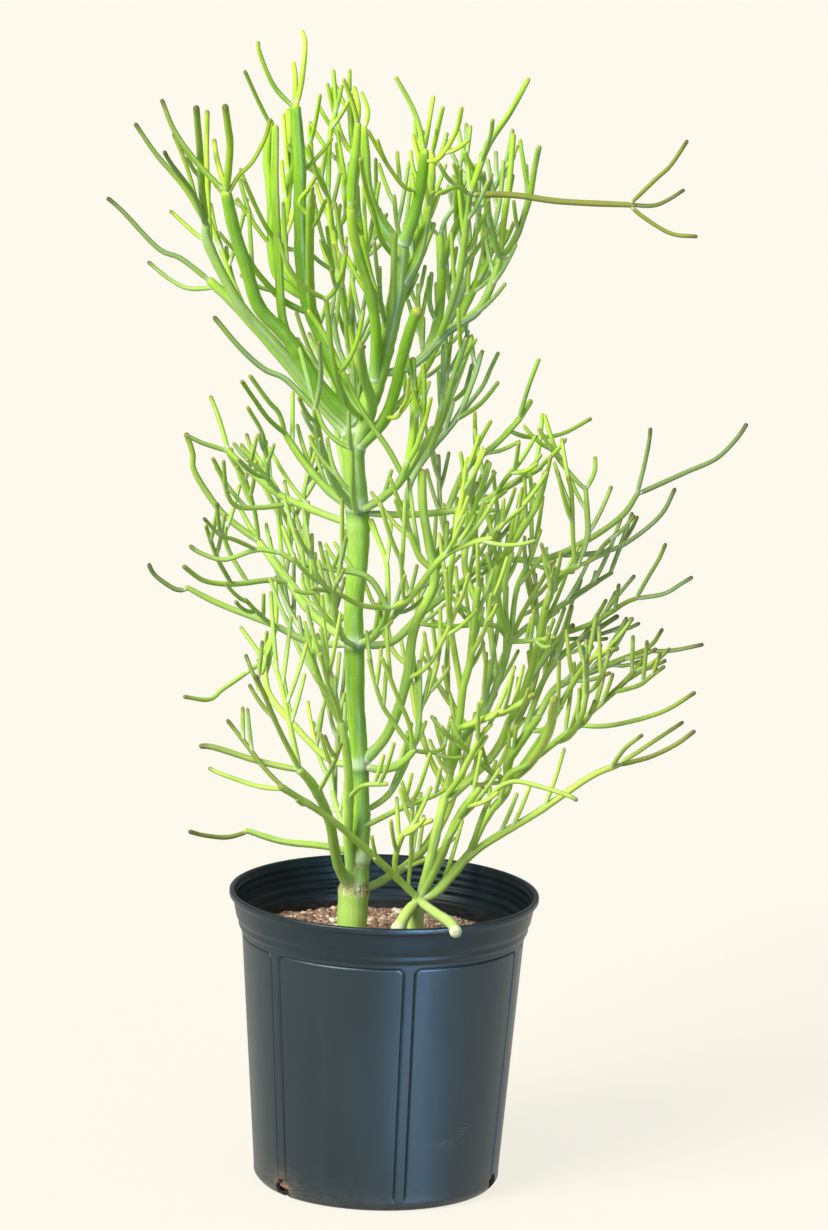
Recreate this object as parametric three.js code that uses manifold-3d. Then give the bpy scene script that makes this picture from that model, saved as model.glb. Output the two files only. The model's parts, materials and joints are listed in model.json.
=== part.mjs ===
// A potted pencil cactus: a nursery pot filled with gritty soil, a tall plant with one trunk, and a
// bushy second plant rooted beside it. Millimetres, +Z up, the pot stands on z = 0 and the front
// of the object faces -Y.
import * as THREE from 'three';
import { mergeVertices } from 'three/addons/utils/BufferGeometryUtils.js';
import Module from 'manifold-3d';

const wasm = await Module();
wasm.setup();

// Driving dimensions of the pot: a ten inch nursery pot with a rolled lip, a rim band below it, a
// bead where the body starts, and pairs of shallow grooves down the body.
const POT_HEIGHT = 245;
const LIP_RADIUS = 127;
const BODY_TOP_RADIUS = 116.5;
const BASE_RADIUS = 101;
const WALL = 2.6;
const FLOOR = 3;
const BODY_TOP = 213;
const BASE_EDGE = 5;
const BEAD = { out: 2.4, low: 2.5, high: 7 };
const BAND = { foot: BODY_TOP + 10.5, footInset: 6, topInset: 3 };
const LIP = { width: 5, height: 5, round: 1.3, overhang: 1.5 };
const POT_SIDES = 42;
const FACET = Math.cos(Math.PI / POT_SIDES);
const RIB_COUNT = 6;
const RIB_FIRST = 11.4 * Math.PI / 180;
const GROOVE = { halfGap: 4.6, width: 2.4, depth: 1.5, foot: 9, top: 209 };
const HOLE_EVERY = 2;
const HOLE = { width: 16, height: 17, reach: 16, below: 1, proud: 3 };

// Driving dimensions of the soil and of the holes that the stems stand in.
const SOIL_LEVEL = 203;
const SOIL_SIDES = POT_SIDES / 2;
const SOIL_RINGS = [1, 0.66, 0.33];
const SOIL_EDGE = 4;
const SOIL_WAVE = 1.4;
const GRIT = { count: 22, least: 2.4, most: 5, edge: 9, proud: 0.6 };
const CLEARANCE = 0.35;
const FOOT_ROOM = 21;
const SOCKET_BOTTOM = 160;
const STEM_FOOT = SOCKET_BOTTOM + 0.4;

// The plants were measured as they are seen from the front, in the plane y = 0. A stem further
// back or nearer is pushed along the line of sight from this eye, so its outline stays the same.
const EYE = { x: 17.3, y: -5384, z: 1600.8 };

const seen = (u, w, y) => {
  const k = 1 - y / EYE.y;
  return new THREE.Vector3(EYE.x + (u - EYE.x) * k, y, EYE.z + (w - EYE.z) * k);
};

// One stem a row: name, stem that it grows from, radius at its root, radius at its tip, depth y of
// its tip, and the points that it passes through, u and w in turn, root first.
const TALL_PLANT = [
  ['trunk', null, 9, 6, 0, [-26, 208, -25, 245, -21.5, 275, -22, 320, -24, 360, -28, 400, -30, 440,
    -32, 480, -30, 520, -31, 560, -36, 612, -30, 637, -20, 665, -11, 705, -4, 745, -2, 788]],
  ['A', 'trunk', 3.2, 2.8, -38, [-22, 279, -50, 281, -85, 284, -117, 293]],
  ['A0', 'trunk', 3.6, 3.2, 50, [-25, 241, -8, 250, 8, 260, 20, 269, 31, 281, 41, 299, 50, 325]],
  ['A2', 'A', 2.4, 2.1, -57, [-117, 293, -130, 286, -149, 287, -162, 290]],
  ['B', 'trunk', 4.6, 3.8, -108, [-25, 243, -37, 262, -42, 280, -46, 300, -54, 320, -64, 336, -74, 346]],
  ['B0', 'B', 2.9, 2.6, -135, [-74, 346, -107, 351, -142, 361, -155, 362]],
  ['B1', 'B', 2.6, 2.1, -172, [-74, 346, -90, 378, -103, 407, -111, 423]],
  ['B2', 'B', 2.6, 2.1, -75, [-76, 348, -82, 385, -90, 418, -97, 435]],
  ['B3', 'B', 2.3, 2, -150, [-56, 325, -44, 352, -39, 368]],
  ['C', 'trunk', 4.2, 3.4, -45, [-24, 247, -31, 285, -31, 320, -33, 350, -37, 375, -40, 388]],
  ['C1', 'C', 2.4, 2.1, -93, [-35, 322, -20, 333, 0, 335]],
  ['D', 'trunk', 3.2, 2.7, 51, [-24, 347, -48, 354, -78, 382, -99, 408, -104, 437]],
  ['D1', 'D', 2.3, 2, 66, [-104, 436, -107, 440, -116, 452, -124, 463]],
  ['D2', 'D', 2.3, 2, 36, [-104, 436, -103, 447, -102, 460]],
  ['E', 'trunk', 3.1, 2.7, -15, [-31, 447, -67, 452, -97, 465, -141, 481, -170, 495]],
  ['E1', 'E', 2.4, 2.1, -27, [-170, 495, -177, 492, -194, 503, -200, 513]],
  ['E2', 'E', 2.3, 2, -51, [-92, 463, -102, 468, -112, 477, -121, 486]],
  ['J', 'trunk', 3.9, 3.3, 69, [-31, 450, -65, 475, -88, 505, -113, 537]],
  ['J1', 'J', 3.1, 2.5, 60, [-113, 537, -137, 553, -153, 572, -165, 592, -166, 605, -172, 622]],
  ['J2', 'J', 2.5, 2.1, 99, [-113, 537, -120, 549, -127, 562]],
  ['J3', 'J', 2.4, 2, 39, [-113, 537, -115, 560, -123, 585, -130, 596]],
  ['J4', 'J', 2.3, 2, 96, [-72, 482, -71, 515, -77, 545, -86, 566]],
  ['N', 'trunk', 3.3, 2.9, -48, [-31, 450, -16, 457, -8, 468, -3, 484]],
  ['P', 'N', 2.9, 2.5, -75, [-3, 484, -21, 507, -50, 513, -81, 519, -95, 527]],
  ['P1', 'P', 2.1, 1.9, -96, [-49, 513, -45, 526, -39, 538]],
  ['P2', 'P', 2.1, 1.9, -57, [-31, 511, -43, 526, -50, 536]],
  ['P3', 'P', 2.3, 2, -60, [-81, 519, -87, 535, -92, 548]],
  ['Q', 'N', 2.5, 2.1, -105, [-3, 484, -27, 484, -46, 493, -67, 497]],
  ['R', 'N', 2.5, 2.1, -21, [-3, 484, -6, 517, -12, 535, -20, 556]],
  ['S', 'N', 2.9, 2.5, -69, [-3, 484, 14, 492, 38, 525, 62, 538, 80, 543]],
  ['S1', 'S', 2.1, 1.9, -84, [8, 488, 7, 505, 5, 529]],
  ['F', 'J', 2.7, 2.3, -9, [-85, 500, -102, 502, -130, 498, -154, 500, -172, 512]],
  ['F1', 'F', 2.3, 2, -33, [-132, 499, -143, 517, -151, 537, -154, 546]],
  ['F2', 'F', 2.3, 2, 21, [-118, 500, -130, 517, -137, 531, -138, 546]],
  ['G', 'P', 2.5, 2.1, -93, [-92, 525, -112, 527, -138, 518, -158, 523, -167, 529]],
  ['G1', 'G', 2.2, 1.9, -120, [-112, 526, -131, 535, -142, 538, -156, 552]],
  ['H', 'F', 2.5, 2.3, -69, [-97, 502, -95, 476, -97, 455, -104, 436, -117, 425]],
  ['H1', 'H', 2.3, 2, -81, [-117, 425, -137, 410, -148, 401, -169, 403]],
  ['K', 'trunk', 3.3, 2.9, 24, [-35, 553, -58, 558, -93, 572, -117, 590, -140, 610]],
  ['K1', 'K', 2.4, 2.1, 12, [-140, 610, -149, 611, -159, 614, -172, 620]],
  ['K2', 'K', 2.4, 2, 45, [-140, 610, -145, 633, -153, 653]],
  ['K3', 'K', 2.3, 2, 63, [-93, 572, -108, 594, -119, 613]],
  ['K4', 'K', 2.3, 2, -12, [-95, 574, -108, 590, -123, 602]],
  ['K5', 'K', 2.3, 2, -36, [-103, 580, -106, 601, -110, 623, -123, 645]],
  ['K6', 'K', 2.5, 2.1, -45, [-82, 566, -110, 562, -132, 564, -142, 587, -150, 602]],
  ['L', 'trunk', 3.7, 3, -51, [-35, 562, -55, 578, -76, 601, -94, 627]],
  ['L1', 'L', 2.4, 2.1, -75, [-94, 627, -106, 636, -118, 652, -128, 666]],
  ['L2', 'L', 2.4, 2.1, -24, [-94, 627, -97, 640, -106, 650, -122, 671]],
  ['M', 'trunk', 3.7, 3.2, -99, [-35, 562, -49, 582, -63, 616, -68, 647]],
  ['M1', 'M', 2.8, 2.3, -126, [-68, 647, -92, 668, -110, 676, -130, 693, -152, 718]],
  ['M2', 'M', 2.6, 2.2, -90, [-68, 647, -74, 668, -82, 695]],
  ['M3', 'M', 2.5, 2.1, -144, [-68, 647, -64, 670, -66, 700]],
  ['T', 'trunk', 4.2, 3.6, -36, [-24, 352, -2, 376, 12, 418, 18, 467, 33, 503, 28, 535, 22, 565,
    20, 598]],
  ['T1', 'T', 3, 2.3, -57, [31, 515, 20, 526, 11, 548, 6, 572]],
  ['T2', 'T', 2.4, 2, -3, [32, 508, 41, 530, 42, 556]],
  ['T3', 'T', 2.3, 2, -66, [12, 423, 29, 434, 41, 456, 50, 478, 53, 493]],
  ['U', 'trunk', 3.5, 3, 18, [-30, 447, 0, 454, 25, 480, 53, 503, 69, 519]],
  ['U1', 'U', 2.4, 2, 36, [69, 519, 80, 535, 83, 551, 86, 567]],
  ['U2', 'U', 2.4, 2, -9, [60, 510, 65, 535, 65, 567]],
  ['V', 'U', 3, 2.6, 51, [69, 519, 92, 525, 123, 527, 157, 544, 184, 565, 197, 586]],
  ['V1', 'V', 2.5, 2.1, 60, [197, 586, 234, 602, 258, 614, 274, 631, 282, 644]],
  ['V2', 'V', 2.3, 2, 36, [197, 586, 200, 607, 203, 625, 204, 638]],
  ['V3', 'V', 2.6, 2.2, 93, [131, 530, 163, 533, 186, 541, 214, 565, 226, 589]],
  ['W', 'trunk', 3.6, 3.3, -24, [-24, 348, -8, 347, 6, 350, 15, 357, 22, 366]],
  ['W1', 'W', 2.4, 2, -51, [22, 366, 1, 390, -8, 405, -19, 440]],
  ['W2', 'W', 2.7, 2.3, -9, [22, 366, 24, 390, 23, 440]],
  ['W3', 'W', 2.3, 1.9, 18, [22, 366, 38, 363, 46, 371, 40, 384]],
  ['W4', 'W', 2.4, 2, -68, [22, 366, 16, 386, 8, 404, -8, 441]],
  ['X', 'trunk', 2.9, 2.5, 36, [-28, 303, 0, 325, 12, 347, 22, 374]],
  ['Y', 'trunk', 2.7, 2.3, -72, [-28, 300, 12, 315, 35, 325, 47, 332]],
  ['Z', 'C', 3.2, 2.3, -66, [-39, 384, -46, 396, -56, 415, -70, 449]],
  ['Z1', 'C', 2.4, 2, -93, [-39, 385, -44, 400, -50, 415, -58, 443]],
  ['Z2', 'C', 2, 1.9, -40, [-40, 385, -46, 415, -54, 445]],

  ['a', 'trunk', 4.8, 3.9, 21, [-36, 620, -60, 645, -96, 686, -132, 725, -158, 749]],
  ['a1', 'a', 2.6, 2.1, 9, [-158, 749, -179, 764, -198, 772, -227, 801, -240, 812]],
  ['a2', 'a', 2.3, 2, 51, [-150, 741, -172, 740, -188, 747, -206, 761]],
  ['a3', 'a', 2.6, 2.2, 66, [-120, 712, -136, 744, -152, 787]],
  ['b', 'trunk', 4.9, 3.8, -33, [-35, 628, -62, 652, -95, 690, -126, 722, -142, 746, -158, 778,
    -160, 795]],
  ['b1', 'b', 2.6, 2.1, -45, [-160, 795, -177, 821, -201, 848, -219, 873]],
  ['b2', 'b', 2.4, 2, -81, [-160, 790, -170, 816, -189, 841, -195, 851]],
  ['b3', 'b', 2.2, 1.9, 0, [-159, 780, -166, 783, -189, 803]],
  ['c', 'trunk', 6.2, 5, -87, [-33, 632, -62, 660, -90, 700, -115, 726, -126, 757, -137, 789,
    -145, 822]],
  ['c1', 'c', 2.7, 2.1, -96, [-145, 822, -165, 839, -186, 866, -198, 893]],
  ['c2', 'c', 3.2, 2.9, -132, [-145, 822, -142, 855, -144, 872, -147, 890]],
  ['c3', 'c', 2.7, 2.3, -60, [-145, 822, -152, 845, -155, 862]],
  ['c4', 'b', 3.2, 2.9, -114, [-159, 800, -164, 822, -166, 850, -170, 888]],
  ['c5', 'b', 2.7, 2.4, -6, [-157, 772, -158, 800, -160, 832, -161, 860, -161, 885]],
  ['c6', 'c', 2.1, 1.9, -120, [-143, 815, -135, 832, -124, 844, -114, 864, -110, 880]],
  ['d', 'trunk', 5.4, 5, -30, [-30, 637, -50, 670, -70, 715, -80, 747, -84, 793, -86, 845, -91, 893]],
  ['d1', 'd', 2.7, 2.2, -21, [-91, 893, -86, 910, -84, 940, -87, 952]],
  ['d2', 'd', 2.4, 2.1, -48, [-91, 893, -108, 906, -120, 932, -122, 942]],
  ['d3', 'd', 2.6, 2.3, -6, [-91, 893, -91, 912, -93, 926]],
  ['d4', 'd', 3.8, 3.2, 39, [-79, 741, -96, 764, -95, 816, -93, 845, -96, 888]],
  ['d5', 'd', 4.1, 3.5, 87, [-77, 735, -103, 757, -108, 816, -112, 847, -110, 879]],
  ['d6', 'd5', 2.2, 1.9, 105, [-110, 879, -121, 895, -132, 918]],
  ['d7', 'd', 3.7, 3.2, -93, [-72, 720, -75, 753, -76, 800, -75, 820]],
  ['d8', 'd7', 2.1, 1.9, -117, [-76, 800, -85, 813, -78, 824, -72, 835]],
  ['d9', 'd', 3, 2.5, -69, [-73, 722, -95, 732, -117, 754, -129, 772]],
  ['d10', 'c', 3.7, 3.1, -34, [-87, 692, -96, 717, -101, 771, -105, 825, -106, 875]],
  ['e', 'trunk', 3.3, 2.7, 72, [-20, 660, -40, 700, -52, 760, -58, 789, -63, 825]],
  ['e1', 'e', 2.3, 2, 93, [-58, 789, -48, 803, -51, 830, -57, 862]],
  ['e2', 'e', 2.3, 2, 60, [-63, 825, -74, 841, -79, 875]],
  ['e3', 'e', 2.5, 2.1, 102, [-63, 825, -62, 868, -58, 890, -61, 921]],
  ['f', 'trunk', 4.7, 3.9, -57, [-20, 662, -22, 722, -40, 784, -44, 812]],
  ['f1', 'f', 4.2, 3.4, -72, [-44, 812, -43, 836, -41, 859, -40, 880]],
  ['f2', 'f1', 2.5, 2.1, -90, [-40, 880, -44, 893, -53, 914]],
  ['f3', 'f1', 2.6, 2.3, -51, [-40, 880, -40, 892, -44, 908]],
  ['g', 'trunk', 4.3, 3.5, -21, [-4, 779, -20, 798, -30, 825, -33, 854, -35, 876]],
  ['g1', 'g', 2.4, 2, -6, [-35, 876, -32, 888, -38, 904]],
  ['h', 'trunk', 4.8, 4.3, -36, [-2, 785, 7, 803, 13, 838, 14, 860]],
  ['h7', 'trunk', 4, 3.4, 12, [-4, 742, 10, 768, 17, 800, 20, 830, 20, 858]],
  ['h1', 'h', 2.7, 2.1, -45, [14, 860, 9, 878, 2, 895, -11, 917]],
  ['h2', 'h', 2.5, 2.1, -75, [14, 850, 26, 852, 39, 874, 43, 894]],
  ['h3', 'h7', 2.5, 2.1, -12, [20, 858, 24, 874, 28, 894]],
  ['h4', 'h', 2.1, 1.9, -3, [12, 828, 5, 845, 3, 858]],
  ['h5', 'h', 2.1, 1.9, -66, [12, 826, 0, 827, -15, 845, -32, 873]],
  ['h6', 'h', 2.3, 2, 27, [14, 858, 17, 880, 20, 902]],
  ['i', 'trunk', 3.9, 3.3, 9, [-17, 670, 10, 683, 36, 710, 61, 729, 73, 755, 78, 775]],
  ['i1', 'i', 3.1, 2.7, 0, [78, 775, 89, 788, 99, 820, 103, 847, 106, 865]],
  ['i2', 'i', 2.9, 2.6, 39, [78, 775, 80, 806, 83, 835, 85, 874]],
  ['i3', 'i1', 2.3, 2.1, 21, [98, 815, 97, 835, 96, 850]],
  ['i4', 'i', 2.5, 2.2, -42, [78, 775, 66, 816, 62, 842]],
  ['i5', 'i', 2.3, 2, -12, [78, 775, 67, 795, 58, 810, 54, 818]],
  ['j', 'i', 3.1, 2.9, -54, [30, 703, 38, 728, 46, 760, 50, 802, 52, 827]],
  ['j1', 'j', 3.1, 2.4, -69, [52, 827, 65, 863, 82, 891, 96, 919]],
  ['j2', 'j', 2.5, 2.1, -21, [52, 827, 49, 847, 44, 862, 40, 878]],
  ['j3', 'j', 2.1, 1.9, -96, [52, 827, 41, 829, 24, 822]],
  ['j4', 'j', 2.8, 2.7, -45, [52, 827, 87, 824, 126, 820, 186, 819]],
  ['j5', 'j4', 2.1, 1.9, -63, [186, 819, 201, 841, 212, 852, 225, 873]],
  ['j6', 'j4', 2.1, 1.9, -30, [186, 819, 199, 819, 211, 824, 224, 833]],
  ['j7', 'j4', 2.1, 1.9, -54, [186, 819, 191, 810, 214, 797, 236, 795]],
  ['j8', 'j1', 2.3, 2, -96, [59, 850, 63, 859, 67, 873, 68, 885]],
  ['k', 'i', 4.2, 3.6, 63, [20, 694, 29, 718, 31, 757, 28, 792]],
  ['k1', 'k', 2.3, 2, 72, [28, 792, 21, 797, 17, 812]],
  ['k2', 'k', 2.5, 2.1, 96, [28, 792, 34, 805, 49, 823]],
  ['k3', 'k', 2.5, 2.2, 33, [28, 716, 22, 735, 23, 760]],
  ['k7', 'k', 3.4, 3, -12, [31, 762, 38, 788, 47, 811, 52, 831, 56, 848]],
  ['l', 'i', 3.8, 3.2, 69, [44, 716, 52, 736, 66, 766, 71, 793]],
  ['l1', 'l', 2.4, 2.1, 90, [71, 793, 76, 820, 78, 852]],
  ['m', 'trunk', 2.9, 2.5, 39, [-4, 735, 8, 756, 19, 786, 24, 800]],
  ['m1', 'trunk', 3.3, 2.9, -36, [-14, 700, -8, 735, -8, 790]],
  ['n', 'trunk', 4.4, 4, -63, [-34, 615, -22, 645, -30, 675, -34, 700]],
  ['o', 'trunk', 4.8, 4.6, -75, [-34, 612, -13, 635, -3, 665, 0, 683, 7, 712, 13, 730]],
  ['o1', 'o', 2.3, 2, -96, [-12, 640, -2, 640, 3, 648, 9, 662]],
  ['p', 'trunk', 3.5, 3.1, -54, [-35, 560, -14, 571, 3, 587, 8, 603]],
  ['p1', 'p', 2.7, 2.3, -108, [4, 591, -8, 614, -32, 648, -58, 699, -76, 726]],
  ['p2', 'p', 3.2, 2.8, -30, [8, 603, 11, 619, 12, 642, 10, 690]],
  ['p3', 'p', 2.7, 2.3, -72, [8, 603, 18, 625, 20, 660, 18, 685]],
  ['q', 'trunk', 3.1, 2.7, -27, [-34, 556, 12, 560, 49, 565, 69, 572, 92, 587, 118, 603]],
  ['q1', 'q', 2.3, 2, -39, [118, 603, 130, 618, 136, 627]],
  ['q2', 'q', 2.3, 2, -3, [111, 600, 115, 625, 116, 647]],
  ['q3', 'q', 2.3, 2, -57, [80, 580, 91, 596, 99, 606]],
  ['r', 'q', 3, 2.5, 33, [8, 560, 11, 586, 26, 613, 47, 641, 59, 672, 65, 695]],
  ['r1', 'r', 2.4, 2, 51, [47, 641, 66, 666, 73, 682, 79, 696]],
  ['r2', 'r', 2.4, 2, 9, [44, 638, 62, 650, 70, 658, 80, 672]],
  ['r3', 'r', 2.4, 2.1, 66, [28, 615, 34, 640, 35, 664, 37, 698]],
  ['r4', 'r', 2.8, 2.5, -12, [24, 610, 35, 640, 43, 674, 52, 703]],
  ['s', 'q', 3, 2.5, 24, [42, 564, 56, 599, 79, 620, 97, 641, 107, 658]],
  ['s1', 's', 2.3, 2, 6, [97, 641, 104, 668, 112, 692]],
  ['s2', 's', 2.3, 2, 60, [90, 632, 106, 627, 131, 630, 156, 644]],
  ['s3', 's', 2.3, 2, -18, [56, 599, 66, 622, 75, 640]],
];

const BUSHY_PLANT = [
  ['stem', null, 8, 5.6, -24, [26, 208, 27, 225, 29, 243]],
  ['leg', 'stem', 4.6, 5.2, -26, [27, 238, 20, 228, 13, 215, 11, 210]],
  ['stub', 'stem', 3.6, 4.6, -159, [28, 241, 35, 233, 45, 226, 53, 221, 58, 216, 60, 211]],
  ['A', 'stem', 3.3, 2.9, -99, [28, 241, 8, 258, -20, 283, -50, 307, -89, 331]],
  ['A1', 'A', 2.4, 2.1, -93, [-89, 331, -107, 330, -136, 339, -147, 344]],
  ['A2', 'A', 2.4, 2.1, -117, [-89, 331, -101, 345, -120, 369, -133, 385]],
  ['B', 'A', 2.7, 2.4, -90, [10, 257, 8, 272, 14, 293, 24, 300, 38, 306]],
  ['B1', 'A', 2, 1.9, -60, [20, 248, 21, 280, 21, 325]],
  ['C', 'stem', 4.4, 3.5, 21, [28, 243, 35, 262, 42, 300, 52, 350]],
  ['C5', 'stem', 3.6, 3.2, -58, [30, 242, 43, 268, 58, 308, 76, 335]],
  ['C6', 'C5', 2.4, 2, -72, [64, 316, 80, 323, 91, 331]],
  ['C1', 'C', 3.4, 2.9, 27, [52, 350, 60, 375, 78, 398, 91, 436, 97, 460]],
  ['C2', 'C', 2.9, 2.5, -27, [48, 325, 60, 345, 75, 377, 84, 389]],
  ['C3', 'C', 3.6, 3.2, 51, [47, 318, 65, 339, 88, 366, 99, 396]],
  ['C4', 'C3', 2.3, 2, 81, [65, 339, 77, 337, 87, 344]],
  ['D', 'stem', 4.5, 3.8, -36, [30, 239, 42, 245, 54, 259, 72, 283]],
  ['E', 'D', 3.3, 2.9, -27, [57, 265, 80, 286, 122, 314, 165, 346, 190, 358]],
  ['E1', 'E', 2.4, 2.1, -42, [188, 357, 203, 361, 217, 366, 235, 376, 250, 388]],
  ['E2', 'E', 2.4, 2, 3, [189, 358, 203, 368, 218, 379, 240, 395]],
  ['E3', 'E', 2.3, 2, -69, [183, 355, 193, 371, 207, 383]],
  ['F', 'D', 3.5, 3.1, -6, [72, 283, 82, 310, 97, 330, 101, 345]],
  ['F1', 'F', 3, 2.4, -24, [92, 323, 98, 345, 116, 357, 152, 389, 190, 426, 207, 448]],
  ['F2', 'F1', 2.4, 2, -51, [152, 389, 181, 390, 221, 402, 249, 420]],
  ['F3', 'F1', 2.3, 2, 6, [190, 426, 204, 436, 213, 440, 224, 446]],
  ['F4', 'F1', 2.3, 2, -51, [181, 418, 202, 424, 213, 433, 223, 441]],
  ['F5', 'D', 2.5, 2.1, -96, [72, 283, 84, 325, 101, 340, 124, 337, 148, 330, 156, 326]],
  ['G', 'F', 4, 3.4, 15, [98, 336, 98, 356, 106, 371, 123, 397]],
  ['F7', 'F', 2.8, 1.9, -30, [100, 340, 84, 348, 66, 364, 55, 375]],
  ['G1', 'G', 2.7, 2.3, 6, [114, 384, 127, 385, 133, 397, 141, 405]],
  ['G2', 'G', 3.2, 2.6, 54, [123, 397, 133, 418, 150, 428, 176, 440, 209, 455]],
  ['G3', 'G2', 2.3, 2, 42, [211, 455, 213, 460, 220, 472]],
  ['G4', 'G2', 2.3, 2, 69, [211, 455, 228, 454, 254, 460]],
  ['H', 'C3', 3.4, 3, -33, [97, 388, 107, 410, 118, 450, 125, 490, 135, 512, 151, 523]],
  ['H1', 'H', 2.7, 2.4, -15, [151, 523, 156, 546, 155, 568, 153, 589]],
  ['H2', 'H', 2.4, 2.1, -60, [146, 521, 144, 550, 142, 581, 138, 596]],
  ['H3', 'H1', 2.3, 2, -3, [153, 589, 160, 600, 160, 613]],
  ['H4', 'H1', 2.3, 2, -45, [153, 589, 140, 598, 125, 617, 113, 635]],
  ['H5', 'H', 2.3, 2, 9, [151, 523, 161, 528, 170, 540, 181, 551]],
  ['H6', 'H', 2.1, 1.9, -66, [124, 485, 129, 499, 127, 525]],
  ['J', 'C3', 2.9, 2.5, 72, [99, 396, 107, 414, 126, 446, 148, 474]],
  ['J1', 'J', 2.5, 2.3, 33, [142, 466, 165, 476, 188, 492, 199, 497]],
  ['J2', 'J1', 2.3, 2, 18, [199, 497, 207, 515, 215, 530, 220, 543]],
  ['J3', 'J1', 2.3, 2, 45, [199, 497, 220, 501, 234, 510, 243, 516]],
  ['J4', 'J1', 2.3, 2, 60, [168, 478, 180, 495, 196, 516]],
  ['J5', 'J', 2.3, 2, 93, [138, 460, 160, 463, 183, 471, 193, 478]],
  ['K', 'C1', 2.9, 2.4, 84, [97, 460, 110, 470, 136, 488, 159, 505, 178, 518]],
  ['K1', 'K', 2.4, 2, 90, [178, 518, 182, 536, 192, 568]],
  ['K2', 'K', 2.1, 1.9, 105, [155, 502, 161, 508, 164, 518]],
  ['L', 'C1', 3.5, 3, -45, [97, 460, 86, 485, 84, 516, 102, 550, 114, 572, 121, 600]],
  ['L1', 'L', 2.4, 2, -78, [85, 518, 80, 545, 91, 558, 104, 570]],
  ['M', 'C1', 2.5, 2.1, -33, [97, 458, 84, 470, 64, 470, 42, 468, 22, 470]],
  ['M1', 'M', 2.1, 1.9, -51, [64, 470, 55, 482, 52, 497]],
  ['N', 'C1', 2.7, 2.3, 39, [97, 460, 100, 500, 109, 523, 118, 552]],
  ['N1', 'C1', 2.5, 2.1, 66, [97, 460, 105, 480, 120, 508, 125, 519]],
  ['N2', 'C1', 2.5, 2.1, 6, [97, 460, 91, 490, 92, 515, 96, 532]],
  ['N3', 'C1', 2.4, 2, -66, [97, 458, 116, 459, 133, 462]],
  ['P', 'C', 3.6, 3, -52, [52, 346, 57, 391, 59, 416, 64, 439, 66, 464, 68, 493, 71, 511]],
  ['R', 'P', 3.2, 2.7, -76, [56, 383, 70, 389, 103, 404, 118, 414]],
  ['P1', 'P', 3, 2.5, -76, [64, 488, 57, 522, 62, 563, 70, 587, 75, 606]],
  ['P2', 'P', 2.9, 2.5, -72, [60, 412, 46, 480, 48, 536, 54, 580, 57, 609]],
  ['P3', 'P', 2.3, 2, -84, [64, 445, 76, 470, 80, 497]],
  ['G5', 'G', 2.9, 2.4, 84, [106, 375, 123, 422, 136, 444, 152, 459, 184, 482]],
  ['F6', 'F', 2.9, 2.4, -46, [99, 338, 120, 371, 133, 393, 148, 423, 163, 445, 185, 455]],
  ['F8', 'F', 4.4, 3.5, -70, [101, 342, 117, 358, 131, 385, 134, 412]],
];

// Arms that the front view shows end on or hides: the stem that each leaves, the height where it
// leaves, its compass angle in degrees (0 to the right, 90 to the back), its reach and its rise.
const TALL_ARMS = [
  ['trunk', 272, 110, 110, 40], ['trunk', 350, 104, 138, 70], ['trunk', 449, 62, 142, 72],
  ['trunk', 451, 116, 134, 80], ['trunk', 452, -104, 96, 66], ['trunk', 556, 56, 132, 76],
  ['trunk', 559, 104, 146, 84], ['trunk', 563, -124, 104, 74], ['trunk', 620, 48, 124, 100],
  ['trunk', 624, 96, 140, 112], ['trunk', 640, -100, 112, 118], ['trunk', 690, 74, 104, 132],
  ['trunk', 712, 122, 100, 128], ['i', 704, 78, 82, 100],
];
const BUSHY_ARMS = [
  ['C', 292, 82, 112, 70], ['C', 330, 110, 102, 84], ['C3', 350, 66, 104, 76], ['F1', 372, -70, 74, 60],
  ['C1', 420, 96, 94, 84],
];
const ARM = { rootRadius: 2.9, tipRadius: 2.5, sway: 6 };
const TWIG = { rootRadius: 2.4, tipRadius: 2, least: 46, most: 88 };
const SEED = { tall_plant: 4021, bushy_plant: 977, grit: 5501 };

// Repeatable draws between 0 and 1.
const drawer = (seed) => {
  let state = seed;
  return () => {
    state = (state * 16807) % 2147483647;
    return state / 2147483647;
  };
};

// A point on the smooth curve through the given points, s running from 0 at the root to 1.
const along = (points, s) => {
  const last = points.length - 1;
  const i = Math.min(Math.floor(s * last), last - 1);
  const t = s * last - i;
  const p1 = points[i];
  const p2 = points[i + 1];
  const p0 = i > 0 ? points[i - 1] : p1.clone().multiplyScalar(2).sub(p2);
  const p3 = i < last - 1 ? points[i + 2] : p2.clone().multiplyScalar(2).sub(p1);
  const blend = (a, b, c, d) =>
    0.5 * (2 * b + (c - a) * t + (2 * a - 5 * b + 4 * c - d) * t * t + (3 * b - a - 3 * c + d) * t * t * t);
  return new THREE.Vector3(blend(p0.x, p1.x, p2.x, p3.x), blend(p0.y, p1.y, p2.y, p3.y),
    blend(p0.z, p1.z, p2.z, p3.z));
};

const sampled = (points, count) => Array.from({ length: count + 1 }, (_, i) => along(points, i / count));

const lengthOf = (line) => line.slice(1).reduce((sum, p, i) => sum + p.distanceTo(line[i]), 0);

const nearest = (line, measure) => line.reduce((best, p) => (measure(p) < measure(best) ? p : best));

// The shortest way between the segments a-b and c-d.
const apart = (a, b, c, d) => {
  const u = b.clone().sub(a);
  const v = d.clone().sub(c);
  const w = a.clone().sub(c);
  const uu = u.dot(u);
  const uv = u.dot(v);
  const vv = v.dot(v);
  const uw = u.dot(w);
  const vw = v.dot(w);
  const clamp = (x) => Math.min(1, Math.max(0, x));
  const wide = uu * vv - uv * uv;
  let s = wide > 1e-9 ? clamp((uv * vw - vv * uw) / wide) : 0;
  const t = clamp((uv * s + vw) / vv);
  s = clamp((uv * t - uw) / uu);
  return w.addScaledVector(u, s).addScaledVector(v, -t).length();
};

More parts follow.
